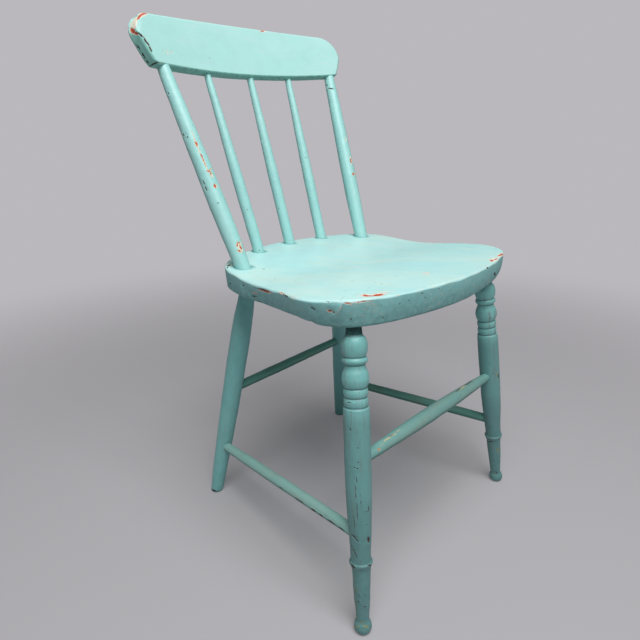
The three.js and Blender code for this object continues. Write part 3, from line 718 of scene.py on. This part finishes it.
def make_upright(node, material, socket, across, shape, sides, seed, scatter, groove):
    """Back post or spindle: turned, from the plank's top to the crest rail's underside. A groove is
    a ring cut at that distance below the crest rail."""
    plan = in_plan(socket)
    low = np.array([plan[0], plan[1], seat_top(plan)])
    high = crest_point(np.float64(across), 0.0, CREST_THICKNESS / 2)
    length = np.linalg.norm(high - low)
    axis = (high - low) / length
    body = shape * [length, 1] + [HIDDEN_TENON, 0]
    whole = length + 2 * HIDDEN_TENON
    low_end, high_end = [0, shape[0, 1] - TENON_EASES[0]], [whole, shape[-1, 1] - TENON_EASES[1]]
    profile = np.vstack([low_end, body, high_end])
    steps = np.arange(0, whole, STICK_STEP)
    if groove:
        cut = HIDDEN_TENON + length - groove
        steps = np.unique(np.concatenate([steps, cut + SCRIBED_RINGS]))
        even = np.linspace(0, whole, SCRIBED_STICK_POINTS)
        dense = np.unique(np.concatenate([even, cut + SCRIBED_POINTS]))
        smooth = flowing(profile[:, 0], profile[:, 1], dense)
        groove_depth = SCRIBED_DEPTH * np.exp(-(((dense - cut) / SCRIBED_SPREAD) ** 2))
        profile = np.column_stack([dense, smooth - groove_depth])
    start = low - axis * HIDDEN_TENON
    make_turned(node, material, start, high, profile, steps, sides, seed, scatter)


def make_stretcher(node, material, axes, heights, radii, seed, chips):
    """Stretcher between two legs: its radius swells from the ends to the middle as half a sine wave."""
    end_radius, middle_radius = radii
    a, b = (at_height(axis, height) for axis, height in zip(axes, heights))
    along = unit(b - a)
    a, b = a + along * STRETCHER_STOP, b - along * STRETCHER_STOP
    length = np.linalg.norm(b - a)
    share = np.linspace(0, 1, 25)
    swell = (middle_radius - end_radius) * np.sin(np.pi * share)
    profile = np.column_stack([share * length, end_radius + swell])
    steps = np.linspace(0, length, STRETCHER_RINGS)
    make_turned(node, material, a, b, profile, steps, STRETCHER_SIDES, seed,
                (chips, STRETCHER_CHIP_SIZES), underside=STRETCHER_SHADE)


# Plank seat

def make_seat(material, seed, scatter):
    """Plank: rows of the outline from the middle of the underside, round the edge, to the middle of
    the top. A row is the outline moved inwards along its own normal, or shrunk towards the centre."""
    sides = SEAT_SIDES
    line = closed_curve(SEAT_OUTLINE * [SEAT_WIDTH / 2, SEAT_DEPTH] - [0, SEAT_DEPTH / 2], SEAT_CURVE_STEPS)
    nearness = (line - DRAWING_ORIGIN[:2]) @ unit(EYE[:2])
    outline = even_steps(line, sides, 1 + NEAR_CROWDING * smooth_step(nearness, *NEAR_SIDE))
    forward = unit(np.roll(outline, -1, axis=0) - np.roll(outline, 1, axis=0))
    inward = np.column_stack([-forward[:, 1], forward[:, 0]])
    back = np.clip((outline[:, 1] / SEAT_DEPTH + 0.5) / SIDE_UNDERCUT_END, 0, 1)
    side_undercut = SIDE_UNDERCUTS[0] + (SIDE_UNDERCUTS[1] - SIDE_UNDERCUTS[0]) * back
    end_undercut = np.where(forward[:, 0] > 0, FRONT_UNDERCUT, BACK_UNDERCUT)
    undercut = side_undercut * forward[:, 1] ** 4 + end_undercut * forward[:, 0] ** 2
    rightness = smooth_step(outline[:, 0], -UNDERCUT_BLEND, UNDERCUT_BLEND)
    curve = UNDERCUT_CURVES[0] + (UNDERCUT_CURVES[1] - UNDERCUT_CURVES[0]) * rightness
    walk = np.linspace(0, 2 * np.pi, sides, endpoint=False)
    slow = SLOW_WEAR * np.cos(11 * walk + 1.0) * np.cos(5 * walk)
    quick = QUICK_WEAR * np.cos(23 * walk + 2.0)
    soft = SEAT_TOP_ROUND + slow + quick
    under = SEAT_HEIGHT - SEAT_THICKNESS
    underside_shares = np.linspace(0.02, 0.985, 10)
    bottom_turns = np.radians(np.linspace(0, 70, 6))
    side_shares = np.linspace(SEAT_BOTTOM_ROUND / SEAT_THICKNESS, 1, 30)
    top_turns = np.radians(np.linspace(0, 90, 8))[1:]
    top_shares = np.concatenate([np.linspace(0.995, 0.9, 20), np.linspace(0.9, 0.012, 27)[1:]])
    # Painted shade on the plank: darkest on its underside and low on its sides, lightest high on its sides.
    darkest, lightest = SIDE_SHADE
    rows, edges, row_shades = [], [], []

    def row(inset, height, shrink=1.0, edge=0.0, darkening=0.0):
        plan = (outline + inward * np.reshape(inset, (-1, 1))) * shrink
        rows.append(np.column_stack([plan, np.broadcast_to(height(plan), sides)]))
        edges.append(np.full(sides, edge))
        row_shades.append(np.full(sides, darkening))

    for shrink in underside_shares:
        row(undercut + SEAT_BOTTOM_ROUND, lambda plan: under, shrink, darkening=darkest)
    for turn in bottom_turns:
        low = under + SEAT_BOTTOM_ROUND * (1 - np.cos(turn))
        inset = undercut + SEAT_BOTTOM_ROUND * (1 - np.sin(turn))
        row(inset, lambda plan: low, edge=BOTTOM_WEAR, darkening=darkest)
    for share in side_shares:
        level = under + share * (seat_top(outline) - soft - under)
        row(undercut * (1 - share) ** curve, lambda plan: level, edge=max(0.0, 1 - (1 - share) / WORN_BELOW),
            darkening=darkest + (lightest - darkest) * share)
    for turn in top_turns:
        row(soft * (1 - np.cos(turn)), lambda plan: seat_top(plan) - soft * (1 - np.sin(turn)), edge=1.0)
    for shrink in top_shares:
        row(soft, seat_top, shrink, edge=max(0.0, TOP_WEAR - (1 - shrink) / WORN_INSIDE))
    middle = np.array([[0, 0, under], [0, 0, seat_top(np.zeros(2))]])
    drawing = np.vstack([*rows, middle])
    warped = drawing[:, 2] > under + FLAT_BELOW
    drawing[:, 2] += lumps(drawing, seed, *PLANK_WARP) * warped
    heart = [0, 0, under + SEAT_HEART]
    drawing += unit(drawing - heart) * lumps(drawing, seed + 3, *PLANK_RIPPLES)[:, None]
    faces = ring_faces(len(rows), sides)
    c, s = np.cos(SEAT_BRUSHING), np.sin(SEAT_BRUSHING)
    brushed = np.column_stack([drawing[:, 0] * c + drawing[:, 1] * s, drawing[:, 2],
                               drawing[:, 1] * c - drawing[:, 0] * s])
    grain = brushed * MM + seed
    edge = np.append(np.concatenate(edges), [0.0, 0.0])
    dirt_and_shade = np.append(np.concatenate(row_shades), [darkest, 0.0])
    on_top = drawing[:, 2] > SEAT_HEIGHT - SEAT_TOP_DEPTH
    for _, socket, _, shape, *_ in STICKS:
        away = np.linalg.norm(drawing[:, :2] - in_plan(socket), axis=1) - shape[0, 1]
        dirt_and_shade = np.maximum(dirt_and_shade, np.exp(-np.maximum(away, 0) / SOCKET_GRIME_SPREAD) * on_top)
    make_piece("seat", material, drawing, faces, grain, edge, dirt_and_shade, seed, scatter)


# Crest rail

def crest_half(flare, corner):
    """Half of the crest rail's front view: its hollow slanted end from the underside up, then the round
    upper corner and the top, which rises to the middle as a parabola."""
    half_bottom = CREST_BOTTOM_WIDTH / 2
    half_top = half_bottom + flare
    share = np.linspace(0, 1, 60)
    tip_up = CREST_HEIGHT - CREST_DROP - corner - CREST_END_LAND
    end = np.column_stack([half_bottom + flare * share, share**CREST_END_CURVE * tip_up])
    across = half_top * np.cos(np.linspace(0, np.pi / 2, 200))
    past = np.maximum(0, across - half_top + corner)
    fall = corner - np.sqrt(corner**2 - past**2)
    top = np.column_stack([across, CREST_HEIGHT - CREST_DROP * (across / half_top) ** 2 - fall])
    return end, top


def crest_outline(count):
    """Front view of the crest rail, from its left tip along the bottom and back along the top. Each
    point moves to the mean of its neighbours a few times, which rounds the lower corners."""
    left_end, left_top = (line[::-1] * [-1, 1] for line in crest_half(*LEFT_END))
    right_end, right_top = crest_half(*RIGHT_END)
    line = even_steps(np.vstack([left_end, right_end, right_top, left_top[1:]]), CREST_CURVE_STEPS)
    for _ in range(CREST_SOFTENING):
        line = 0.5 * line + 0.25 * (np.roll(line, 1, axis=0) + np.roll(line, -1, axis=0))
    return even_steps(line, count)


def make_crest(material, seed, scatter):
    """Board: rows of its front view from the back face, round the edge, to the front face. On a face
    each row is drawn in towards a line along the middle of the board, where the two halves are sewn."""
    sides = CREST_SIDES
    outline = crest_outline(sides)
    forward = np.roll(outline, -1, axis=0) - np.roll(outline, 1, axis=0)
    inward = unit(np.column_stack([-forward[:, 1], forward[:, 0]]))
    reach = CREST_BOTTOM_WIDTH / 2 - CREST_SPINE_STOP
    spine_height = np.full(sides, CREST_SPINE * CREST_HEIGHT)
    spine = np.column_stack([np.clip(outline[:, 0], -reach, reach), spine_height])
    thick, round_ = CREST_THICKNESS, CREST_EDGE_ROUND
    rows, edges, on_edges = [], [], []

    def row(inset, into, share=1.0, edge=0.0):
        flat = outline + inward * inset
        flat = spine + (flat - spine) * share
        rows.append(crest_point(flat[:, 0], flat[:, 1], np.full(sides, into)))
        edges.append(np.full(sides, edge))
        on_edges.append(0.0 < into < thick)

    shares = np.linspace(0.03, 1, 34)
    face_wear = np.maximum(0.0, CREST_FACE_WEAR - np.arange(len(shares))[::-1] / CREST_FACE_WEAR_ROWS)
    turns = np.radians(np.linspace(0, 90, 7))[1:]
    for share, wear in zip(shares, face_wear):
        row(round_, thick, share, edge=wear)
    for turn in turns:
        row(round_ * (1 - np.sin(turn)), thick - round_ * (1 - np.cos(turn)), edge=1.0)
    for into in np.linspace(thick - round_, round_, 11)[1:]:
        row(0.0, into, edge=CREST_EDGE_WEAR)
    for turn in turns:
        row(round_ * (1 - np.cos(turn)), round_ * (1 - np.sin(turn)), edge=1.0)
    for share, wear in zip(shares[-2::-1], face_wear[:0:-1]):
        row(round_, 0.0, share, edge=wear)
    drawing = np.vstack(rows)
    quads, _ = ring_faces(len(rows), sides)
    i = np.arange(1, sides // 2 - 1)
    sewn = np.column_stack([i, i + 1, sides - i - 1, sides - i])
    tips = np.array([[0, 1, sides - 1], [sides // 2 - 1, sides // 2, sides // 2 + 1]])
    last = (len(rows) - 1) * sides
    quads = np.vstack([quads, sewn + last, sewn[:, ::-1]])
    fans = np.vstack([tips + last, tips[:, ::-1]])
    front = crest_point(np.float64(0), CREST_HEIGHT / 2, 0.0)
    drawing = drawing + unit(drawing - front) * lumps(drawing, seed, *CREST_RIPPLES)[:, None]
    grain = drawing[:, [1, 2, 0]] * MM + seed
    edge = np.concatenate(edges)
    # Painted shade on the edge where it faces down.
    faces_down = smooth_step(inward[:, 1], *CREST_UNDERSIDE_FACING)
    dirt_and_shade = np.concatenate([CREST_SHADE * faces_down * on_edge for on_edge in on_edges])
    make_piece("crest_rail", material, drawing, (quads, fans), grain, edge, dirt_and_shade, seed,
               scatter)


# Finishes

def put(tree, kind, values=None, **settings):
    """New node with its settings, and each input set to a value or joined to another node's output."""
    made = tree.nodes.new(kind)
    for label, value in settings.items():
        setattr(made, label, value)
    for socket, value in (values or {}).items():
        if isinstance(value, bpy.types.NodeSocket):
            tree.links.new(value, made.inputs[socket])
        else:
            made.inputs[socket].default_value = value
    return made


def calc(tree, operation, first, second=0.0):
    """Sum, product or other arithmetic of two values."""
    return put(tree, "ShaderNodeMath", {0: first, 1: second}, operation=operation).outputs[0]


def ramp(tree, value, low, high, to_low=0.0, to_high=1.0):
    """Value carried from one range to another with an even S between the ends."""
    made = put(tree, "ShaderNodeMapRange", {0: value, 1: low, 2: high, 3: to_low, 4: to_high})
    made.interpolation_type = "SMOOTHSTEP"
    return made.outputs[0]


def layer(tree, cover, under, over):
    """Colour over another colour, by how much it covers."""
    made = put(tree, "ShaderNodeMix", {0: cover, 6: under, 7: over}, data_type="RGBA")
    return made.outputs[2]


def speckle(tree, where, scale, detail=3.0, roughness=0.55):
    """Noise of that many bumps a metre."""
    values = {"Vector": where, "Scale": scale, "Detail": detail, "Roughness": roughness}
    return put(tree, "ShaderNodeTexNoise", values).outputs["Fac"]


def stretched(tree, where, along):
    """Coordinates squeezed along the grain, so that noise becomes streaks."""
    squeezed = put(tree, "ShaderNodeVectorMath", {0: where, 1: (1.0, 1.0, along)}, operation="MULTIPLY")
    return squeezed.outputs[0]


def new_group(name, inputs, outputs):
    """Shader node group with named sockets."""
    tree = bpy.data.node_groups.new(name, "ShaderNodeTree")
    for way, sockets in (("INPUT", inputs), ("OUTPUT", outputs)):
        for label, kind in sockets.items():
            tree.interface.new_socket(name=label, in_out=way, socket_type="NodeSocket" + kind)
    enter = tree.nodes.new("NodeGroupInput").outputs
    leave = tree.nodes.new("NodeGroupOutput").inputs
    return tree, enter, leave


def brushed_coat_group():
    """Brushed paint: streaks along the grain, broad fading, and a fine height for the brush marks."""
    tree, enter, leave = new_group(
        "brushed_coat",
        {"Grain": "Vector", "Coat": "Color", "Faded": "Color", "Rubbed": "Color", "Fading": "Float",
         "Rubbing": "Float"},
        {"Color": "Color", "Height": "Float"},
    )
    grain = enter["Grain"]
    fine = speckle(tree, stretched(tree, grain, along=0.05), scale=520.0, detail=4.0)
    broad = speckle(tree, stretched(tree, grain, along=0.35), scale=26.0)
    rub = speckle(tree, stretched(tree, grain, along=0.07), scale=240.0, detail=4.0, roughness=0.65)
    fine_streak = ramp(tree, fine, 0.3, 0.75, to_high=0.55)
    streak = calc(tree, "ADD", fine_streak, ramp(tree, broad, 0.35, 0.7, to_high=0.75))
    faded = layer(tree, calc(tree, "MULTIPLY", streak, enter["Fading"]), enter["Coat"], enter["Faded"])
    rubbed = calc(tree, "MULTIPLY", ramp(tree, rub, 0.5, 0.7), ramp(tree, broad, 0.36, 0.6))
    cover = calc(tree, "MULTIPLY", rubbed, enter["Rubbing"])
    tree.links.new(layer(tree, cover, faded, enter["Rubbed"]), leave["Color"])
    tree.links.new(fine, leave["Height"])
    return tree


def lost_paint_group():
    """Peeling paint: where a mark's field is positive the coats are gone, with ragged edges. Primer
    shows as a rim, then the red coat, then wood. Arrises wear through to the primer in places, and
    specks are round spots in some of the cells of a cell pattern."""
    tree, enter, leave = new_group(
        "lost_paint",
        {"Place": "Vector", "Coat": "Color", "Primer": "Color", "Red": "Color", "Wood": "Color",
         "Red loss": "Float", "Cream loss": "Float", "Wood loss": "Float", "Edge": "Float",
         "Edge wear": "Float", "Specks": "Float"},
        {"Color": "Color", "Bare": "Float"},
    )
    place = enter["Place"]
    torn = speckle(tree, stretched(tree, place, along=0.45), scale=520.0, detail=5.0, roughness=0.6)
    ragged = calc(tree, "MULTIPLY", calc(tree, "SUBTRACT", torn, 0.5), RAGGEDNESS)
    patches = speckle(tree, place, scale=60.0, detail=5.0, roughness=0.62)
    worn = calc(tree, "SUBTRACT", patches, enter["Edge wear"])
    on_arris = calc(tree, "ADD", worn, calc(tree, "SUBTRACT", enter["Edge"], 1.0))
    arris = calc(tree, "MULTIPLY", on_arris, ARRIS_DEPTH)
    deep_arris = calc(tree, "SUBTRACT", arris, PRIMER_RIM)
    red_at = calc(tree, "ADD", calc(tree, "MAXIMUM", enter["Red loss"], deep_arris), ragged)
    cream_at = calc(tree, "ADD", calc(tree, "MAXIMUM", enter["Cream loss"], arris), ragged)
    wood_at = calc(tree, "ADD", enter["Wood loss"], calc(tree, "MULTIPLY", ragged, WOOD_RAGGEDNESS))
    primer = calc(tree, "MAXIMUM", ramp(tree, red_at, *RIM_EDGE), ramp(tree, cream_at, *CREAM_EDGE))
    red = ramp(tree, red_at, *RED_EDGE)
    deep = ramp(tree, wood_at, *WOOD_EDGE)
    cells = put(tree, "ShaderNodeTexVoronoi", {"Vector": place, "Scale": SPECK_CELLS}).outputs
    drawn = put(tree, "ShaderNodeSeparateColor", {0: cells["Color"]}).outputs
    chosen = calc(tree, "LESS_THAN", drawn[0], enter["Specks"])
    room = calc(tree, "SUBTRACT", calc(tree, "MULTIPLY", drawn[1], LARGEST_SPECK), cells["Distance"])
    speck = calc(tree, "MULTIPLY", chosen, ramp(tree, room, 0.0, SPECK_EDGE))
    patchy = ramp(tree, speckle(tree, place, scale=700.0), 0.5, 0.75, to_high=0.55)
    old_red = layer(tree, patchy, enter["Red"], enter["Wood"])
    color = layer(tree, primer, enter["Coat"], enter["Primer"])
    color = layer(tree, red, color, old_red)
    color = layer(tree, calc(tree, "MAXIMUM", deep, speck), color, enter["Wood"])
    tree.links.new(color, leave["Color"])
    bare = calc(tree, "MAXIMUM", calc(tree, "MAXIMUM", primer, red), calc(tree, "MAXIMUM", deep, speck))
    tree.links.new(bare, leave["Bare"])
    return tree


def dirt_and_shade_cover_group():
    """Dirt in hollows and joints and painted shade, both by the amount that a piece stores; and thin dirt in
    blotches all over.
    """
    tree, enter, leave = new_group(
        "dirt_and_shade_cover",
        {"Place": "Vector", "Color": "Color", "Grime and shade": "Color", "Dirt and shade amount": "Float", "In hollows and shade": "Float",
         "All over": "Float"},
        {"Color": "Color", "Grime and shade": "Float"},
    )
    cloud = ramp(tree, speckle(tree, enter["Place"], scale=34.0, detail=5.0, roughness=0.6), 0.42, 0.75)
    grit = ramp(tree, speckle(tree, enter["Place"], scale=140.0), 0.3, 0.7, to_low=0.65)
    hollow = calc(tree, "MULTIPLY", calc(tree, "MULTIPLY", enter["Dirt and shade amount"], grit), enter["In hollows and shade"])
    cover = calc(tree, "MAXIMUM", hollow, calc(tree, "MULTIPLY", cloud, enter["All over"]))
    tree.links.new(layer(tree, cover, enter["Color"], enter["Grime and shade"]), leave["Color"])
    tree.links.new(cover, leave["Grime and shade"])
    return tree


def srgb(red, green, blue):
    """Colour from screen values of 0 to 255."""
    value = np.array([red, green, blue]) / 255
    linear = np.where(value <= 0.04045, value / 12.92, ((value + 0.055) / 1.055) ** 2.4)
    return (*linear.tolist(), 1.0)


OLD_RED = srgb(198, 84, 50)
BARE_WOOD = srgb(84, 56, 48)
# Colour of dirt, and of the painted shade on undersides, the plank's sides and the legs' necks and shafts
GRIME_AND_SHADE = srgb(32, 76, 74)
RAGGEDNESS = 4.5  # millimetres by which a mark's edge strays
WOOD_RAGGEDNESS = 0.6  # share of it that the edge of bare wood has
# Millimetres into a mark between which each layer comes into view
RIM_EDGE = (-0.75, -0.4)
CREAM_EDGE = (-0.1, 0.5)
RED_EDGE = (-0.1, 0.35)
WOOD_EDGE = (-0.15, 0.4)
ARRIS_DEPTH = 9.0  # millimetres into a mark, for each unit by which an arris is worn
PRIMER_RIM = 1.6  # an arris wears this much further before the red coat shows
SPECK_CELLS = 260.0  # to the metre
LARGEST_SPECK = 0.3  # share of its cell
SPECK_EDGE = 0.08  # share of its cell over which a speck ends
SPECKS_IN_DIRT_AND_SHADE = 0.2  # share of cells that hold a speck where dirt and painted shade cover all
SHELTER_AND_SHADE_AT = 0.25  # from this much dirt and painted shade on, the coat shows its deep colour: kept from wear, and painted shade
BARE_ROUGHNESS = 0.8
DUST_ROUGHNESS = 0.3  # added where dirt and painted shade cover all
BRUSH_MARKS = 0.35  # height beside the coats' own
RELIEF_STRENGTH = 0.6
RELIEF_DEPTH = 0.0005  # metres

brushed_coat = brushed_coat_group()
lost_paint = lost_paint_group()
dirt_and_shade_cover = dirt_and_shade_cover_group()


def paint(name, coat, faded, sheltered_and_shaded, rubbed, primer, fading=0.6, rubbing=0.6, edge_wear=0.72,
          specks=0.02, in_hollows_and_shade=0.6, all_over=0.05, gloss=0.42):
    """Painted wood: brushed coat, deeper where it is sheltered from wear and where shade is painted, then the
    places where it is lost, then dirt in hollows and joints, painted shade, and thin dirt all over."""
    material = bpy.data.materials.new(name)
    material.use_nodes = True
    tree = material.node_tree
    shader = tree.nodes["Principled BSDF"]

    def fact(label, output="Fac"):
        return put(tree, "ShaderNodeAttribute", attribute_name=label).outputs[output]

    grain = fact("grain", "Vector")
    dirt_and_shade = fact("dirt_and_shade")
    shelter_and_shade = ramp(tree, dirt_and_shade, 0.0, SHELTER_AND_SHADE_AT)
    coated = put(tree, "ShaderNodeGroup", node_tree=brushed_coat, values={
        "Grain": grain, "Coat": layer(tree, shelter_and_shade, srgb(*coat), srgb(*sheltered_and_shaded)),
        "Faded": layer(tree, shelter_and_shade, srgb(*faded), srgb(*sheltered_and_shaded)), "Rubbed": srgb(*rubbed),
        "Fading": fading, "Rubbing": rubbing,
    }).outputs
    peeled = put(tree, "ShaderNodeGroup", node_tree=lost_paint, values={
        "Place": grain, "Coat": coated["Color"], "Primer": srgb(*primer), "Red": OLD_RED, "Wood": BARE_WOOD,
        "Red loss": fact("red_loss"), "Cream loss": fact("cream_loss"), "Wood loss": fact("wood_loss"),
        "Edge": fact("edge"), "Edge wear": edge_wear,
        "Specks": calc(tree, "ADD", calc(tree, "MULTIPLY", dirt_and_shade, SPECKS_IN_DIRT_AND_SHADE), specks),
    }).outputs
    darkened = put(tree, "ShaderNodeGroup", node_tree=dirt_and_shade_cover, values={
        "Place": grain, "Color": peeled["Color"], "Grime and shade": GRIME_AND_SHADE, "Dirt and shade amount": dirt_and_shade,
        "In hollows and shade": in_hollows_and_shade, "All over": all_over,
    }).outputs
    matt = ramp(tree, peeled["Bare"], 0.0, 1.0, gloss, BARE_ROUGHNESS)
    roughness = calc(tree, "ADD", matt, calc(tree, "MULTIPLY", darkened["Grime and shade"], DUST_ROUGHNESS))
    height = calc(tree, "SUBTRACT", calc(tree, "MULTIPLY", coated["Height"], BRUSH_MARKS), peeled["Bare"])
    relief = {"Height": height, "Strength": RELIEF_STRENGTH, "Distance": RELIEF_DEPTH}
    normal = put(tree, "ShaderNodeBump", relief).outputs["Normal"]
    for label, value in {"Base Color": darkened["Color"], "Roughness": roughness, "Normal": normal}.items():
        tree.links.new(value, shader.inputs[label])
    return material


# One turquoise paint in lit and shaded copies: beside real fading and wear, the crest rail's and seat's coats
# are set lighter as painted light, the legs' darker as painted shade, the left side stretcher's lighter as
# painted light, and the rear and right stretchers' darker and greener, partly as painted shade.
back_paint = paint(
    "back_paint", coat=(180, 233, 227), faded=(193, 238, 234), sheltered_and_shaded=(160, 230, 216),
    rubbed=(204, 230, 222), primer=(234, 230, 212), fading=0.55, rubbing=0.4, edge_wear=0.66, specks=0.012,
)
stick_paint = paint(
    "stick_paint", coat=(162, 221, 217), faded=(176, 227, 223), sheltered_and_shaded=(128, 200, 196),
    rubbed=(178, 214, 208), primer=(226, 222, 200), fading=0.55, rubbing=0.4, edge_wear=0.66, specks=0.012,
)
seat_paint = paint(
    "seat_paint", coat=(182, 237, 237), faded=(208, 240, 233), sheltered_and_shaded=(156, 223, 222),
    rubbed=(216, 233, 220), primer=(232, 234, 222), fading=0.75, rubbing=0.7, edge_wear=0.64, specks=0.012,
    in_hollows_and_shade=0.8, gloss=0.45,
)
front_leg_paint = paint(
    "front_leg_paint", coat=(122, 189, 186), faded=(136, 194, 191), sheltered_and_shaded=(110, 161, 160),
    rubbed=(126, 140, 138), primer=(160, 168, 122), rubbing=0.85, in_hollows_and_shade=0.85, all_over=0.1,
)
rear_leg_paint = paint(
    "rear_leg_paint", coat=(126, 194, 192), faded=(140, 198, 195), sheltered_and_shaded=(108, 170, 168),
    rubbed=(138, 168, 166), primer=(140, 148, 98), in_hollows_and_shade=0.85, all_over=0.1,
)
stretcher_paint = paint(
    "stretcher_paint", coat=(116, 169, 164), faded=(137, 173, 165), sheltered_and_shaded=(100, 152, 146),
    rubbed=(150, 158, 138), primer=(194, 192, 156), rubbing=0.65, all_over=0.14, gloss=0.5,
)
side_stretcher_lit_paint = paint(
    "side_stretcher_lit_paint", coat=(148, 200, 192), faded=(164, 202, 192), sheltered_and_shaded=(118, 168, 158),
    rubbed=(170, 180, 162), primer=(194, 192, 156), all_over=0.1, gloss=0.5,
)
inner_stretcher_shaded_paint = paint(
    "inner_stretcher_shaded_paint", coat=(102, 166, 152), faded=(118, 170, 156), sheltered_and_shaded=(86, 146, 132),
    rubbed=(132, 148, 126), primer=(176, 170, 124), rubbing=0.65, all_over=0.14, gloss=0.5,
)

# The chair
leg_axes = {
    f"{place}_leg_{name}": leg_axis(socket, splay, side)
    for place, socket, splay in (
        ("front", FRONT_LEG_SOCKET, FRONT_SPLAY), ("rear", REAR_LEG_SOCKET, REAR_SPLAY))
    for name, side in (("left", -1), ("right", 1))
}
for number, (node, axis) in enumerate(leg_axes.items()):
    if node.startswith("front"):
        make_front_leg(node, front_leg_paint, axis, LEG_SEED + number)
    else:
        make_rear_leg(node, rear_leg_paint, axis, LEG_SEED + number)

stretcher_paints = {"front_stretcher": stretcher_paint, "side_stretcher_left": side_stretcher_lit_paint}
for node, (from_leg, to_leg, heights, radii, seed, chips) in STRETCHERS.items():
    material = stretcher_paints.get(node, inner_stretcher_shaded_paint)
    make_stretcher(node, material, (leg_axes[from_leg], leg_axes[to_leg]), heights, radii, seed, chips)

for node, *stick in STICKS:
    make_upright(node, stick_paint, *stick)

make_seat(seat_paint, SEAT_SEED, SEAT_CHIPS)
make_crest(back_paint, CREST_SEED, CREST_CHIPS)

# Floor, light and camera
FLOOR_RADIUS = 8.0
FLOOR_CORNERS = 96
FLOOR_ROUGHNESS = 0.9
BACKDROP_COLOR = srgb(186, 184, 188)
BACKDROP_START = 0.6  # metres from the middle where the floor starts to fade
BACKDROP_FULL = 2.0
SHADOW_LIFT = 0.17  # share of the backdrop in the floor's colour
STUDIO_COLOR = (0.96, 0.98, 1.0, 1.0)
STUDIO_STRENGTH = 0.15
KEY_PLACE = (-0.5, -0.9, 2.45)
KEY_TARGET = (0.0, 0.0, 0.5)
KEY_SIZE = 1.7
KEY_POWER = 58.0
VIEW_RANGE = (0.02, 40.0)

angles = np.linspace(0, 2 * np.pi, FLOOR_CORNERS, endpoint=False)
floor_points = FLOOR_RADIUS * np.column_stack([np.cos(angles), np.sin(angles), np.zeros(FLOOR_CORNERS)])
floor_mesh = bpy.data.meshes.new("floor")
floor_mesh.from_pydata(floor_points.tolist(), [], [list(range(FLOOR_CORNERS))])
floor = bpy.data.objects.new("floor", floor_mesh)
bpy.context.scene.collection.objects.link(floor)
floor_material = bpy.data.materials.new("pale_floor")
floor_material.use_nodes = True
tree = floor_material.node_tree
shader = tree.nodes["Principled BSDF"]
shader.inputs["Base Color"].default_value = BACKDROP_COLOR
shader.inputs["Roughness"].default_value = FLOOR_ROUGHNESS
backdrop = put(tree, "ShaderNodeEmission", {"Color": BACKDROP_COLOR, "Strength": 1.0})
where = put(tree, "ShaderNodeTexCoord").outputs["Object"]
far = put(tree, "ShaderNodeVectorMath", {0: where}, operation="LENGTH").outputs["Value"]
seen = put(tree, "ShaderNodeLightPath").outputs["Is Camera Ray"]
fade = calc(tree, "MULTIPLY", ramp(tree, far, BACKDROP_START, BACKDROP_FULL, SHADOW_LIFT), seen)
mixed = put(tree, "ShaderNodeMixShader", {0: fade, 1: shader.outputs[0], 2: backdrop.outputs[0]})
tree.links.new(mixed.outputs[0], tree.nodes["Material Output"].inputs["Surface"])
floor_mesh.materials.append(floor_material)

world = bpy.data.worlds.new("studio")
bpy.context.scene.world = world
world.use_nodes = True
tree = world.node_tree
around = tree.nodes["Background"]
around.inputs["Color"].default_value = STUDIO_COLOR
around.inputs["Strength"].default_value = STUDIO_STRENGTH
shown = put(tree, "ShaderNodeBackground", {"Color": BACKDROP_COLOR, "Strength": 1.0})
seen = put(tree, "ShaderNodeLightPath").outputs["Is Camera Ray"]
mixed = put(tree, "ShaderNodeMixShader", {0: seen, 1: around.outputs[0], 2: shown.outputs[0]})
tree.links.new(mixed.outputs[0], tree.nodes["World Output"].inputs["Surface"])


def lamp(name, place, target, size, power):
    """Square soft light that faces a target point."""
    data = bpy.data.lights.new(name, "AREA")
    data.size = size
    data.energy = power
    made = bpy.data.objects.new(name, data)
    bpy.context.scene.collection.objects.link(made)
    away = unit(np.array(place) - np.array(target))
    side = unit(np.cross([0.0, 1.0, 0.0], away))
    turn = np.column_stack([side, np.cross(away, side), away])
    made.matrix_world = Matrix.Translation(place) @ Matrix(turn.tolist()).to_4x4()


lamp("key", KEY_PLACE, KEY_TARGET, KEY_SIZE, KEY_POWER)

camera_data = bpy.data.cameras.new("photo_view")
camera_data.sensor_width = SENSOR
camera_data.lens = LENS
camera_data.clip_start, camera_data.clip_end = VIEW_RANGE
camera = bpy.data.objects.new("photo_view", camera_data)
bpy.context.scene.collection.objects.link(camera)
facing = np.column_stack([right_axis, up_axis, -view_axis])
camera.matrix_world = Matrix.Translation(EYE.tolist()) @ Matrix(facing.tolist()).to_4x4()
bpy.context.scene.camera = camera
bpy.context.scene.view_settings.view_transform = "Standard"
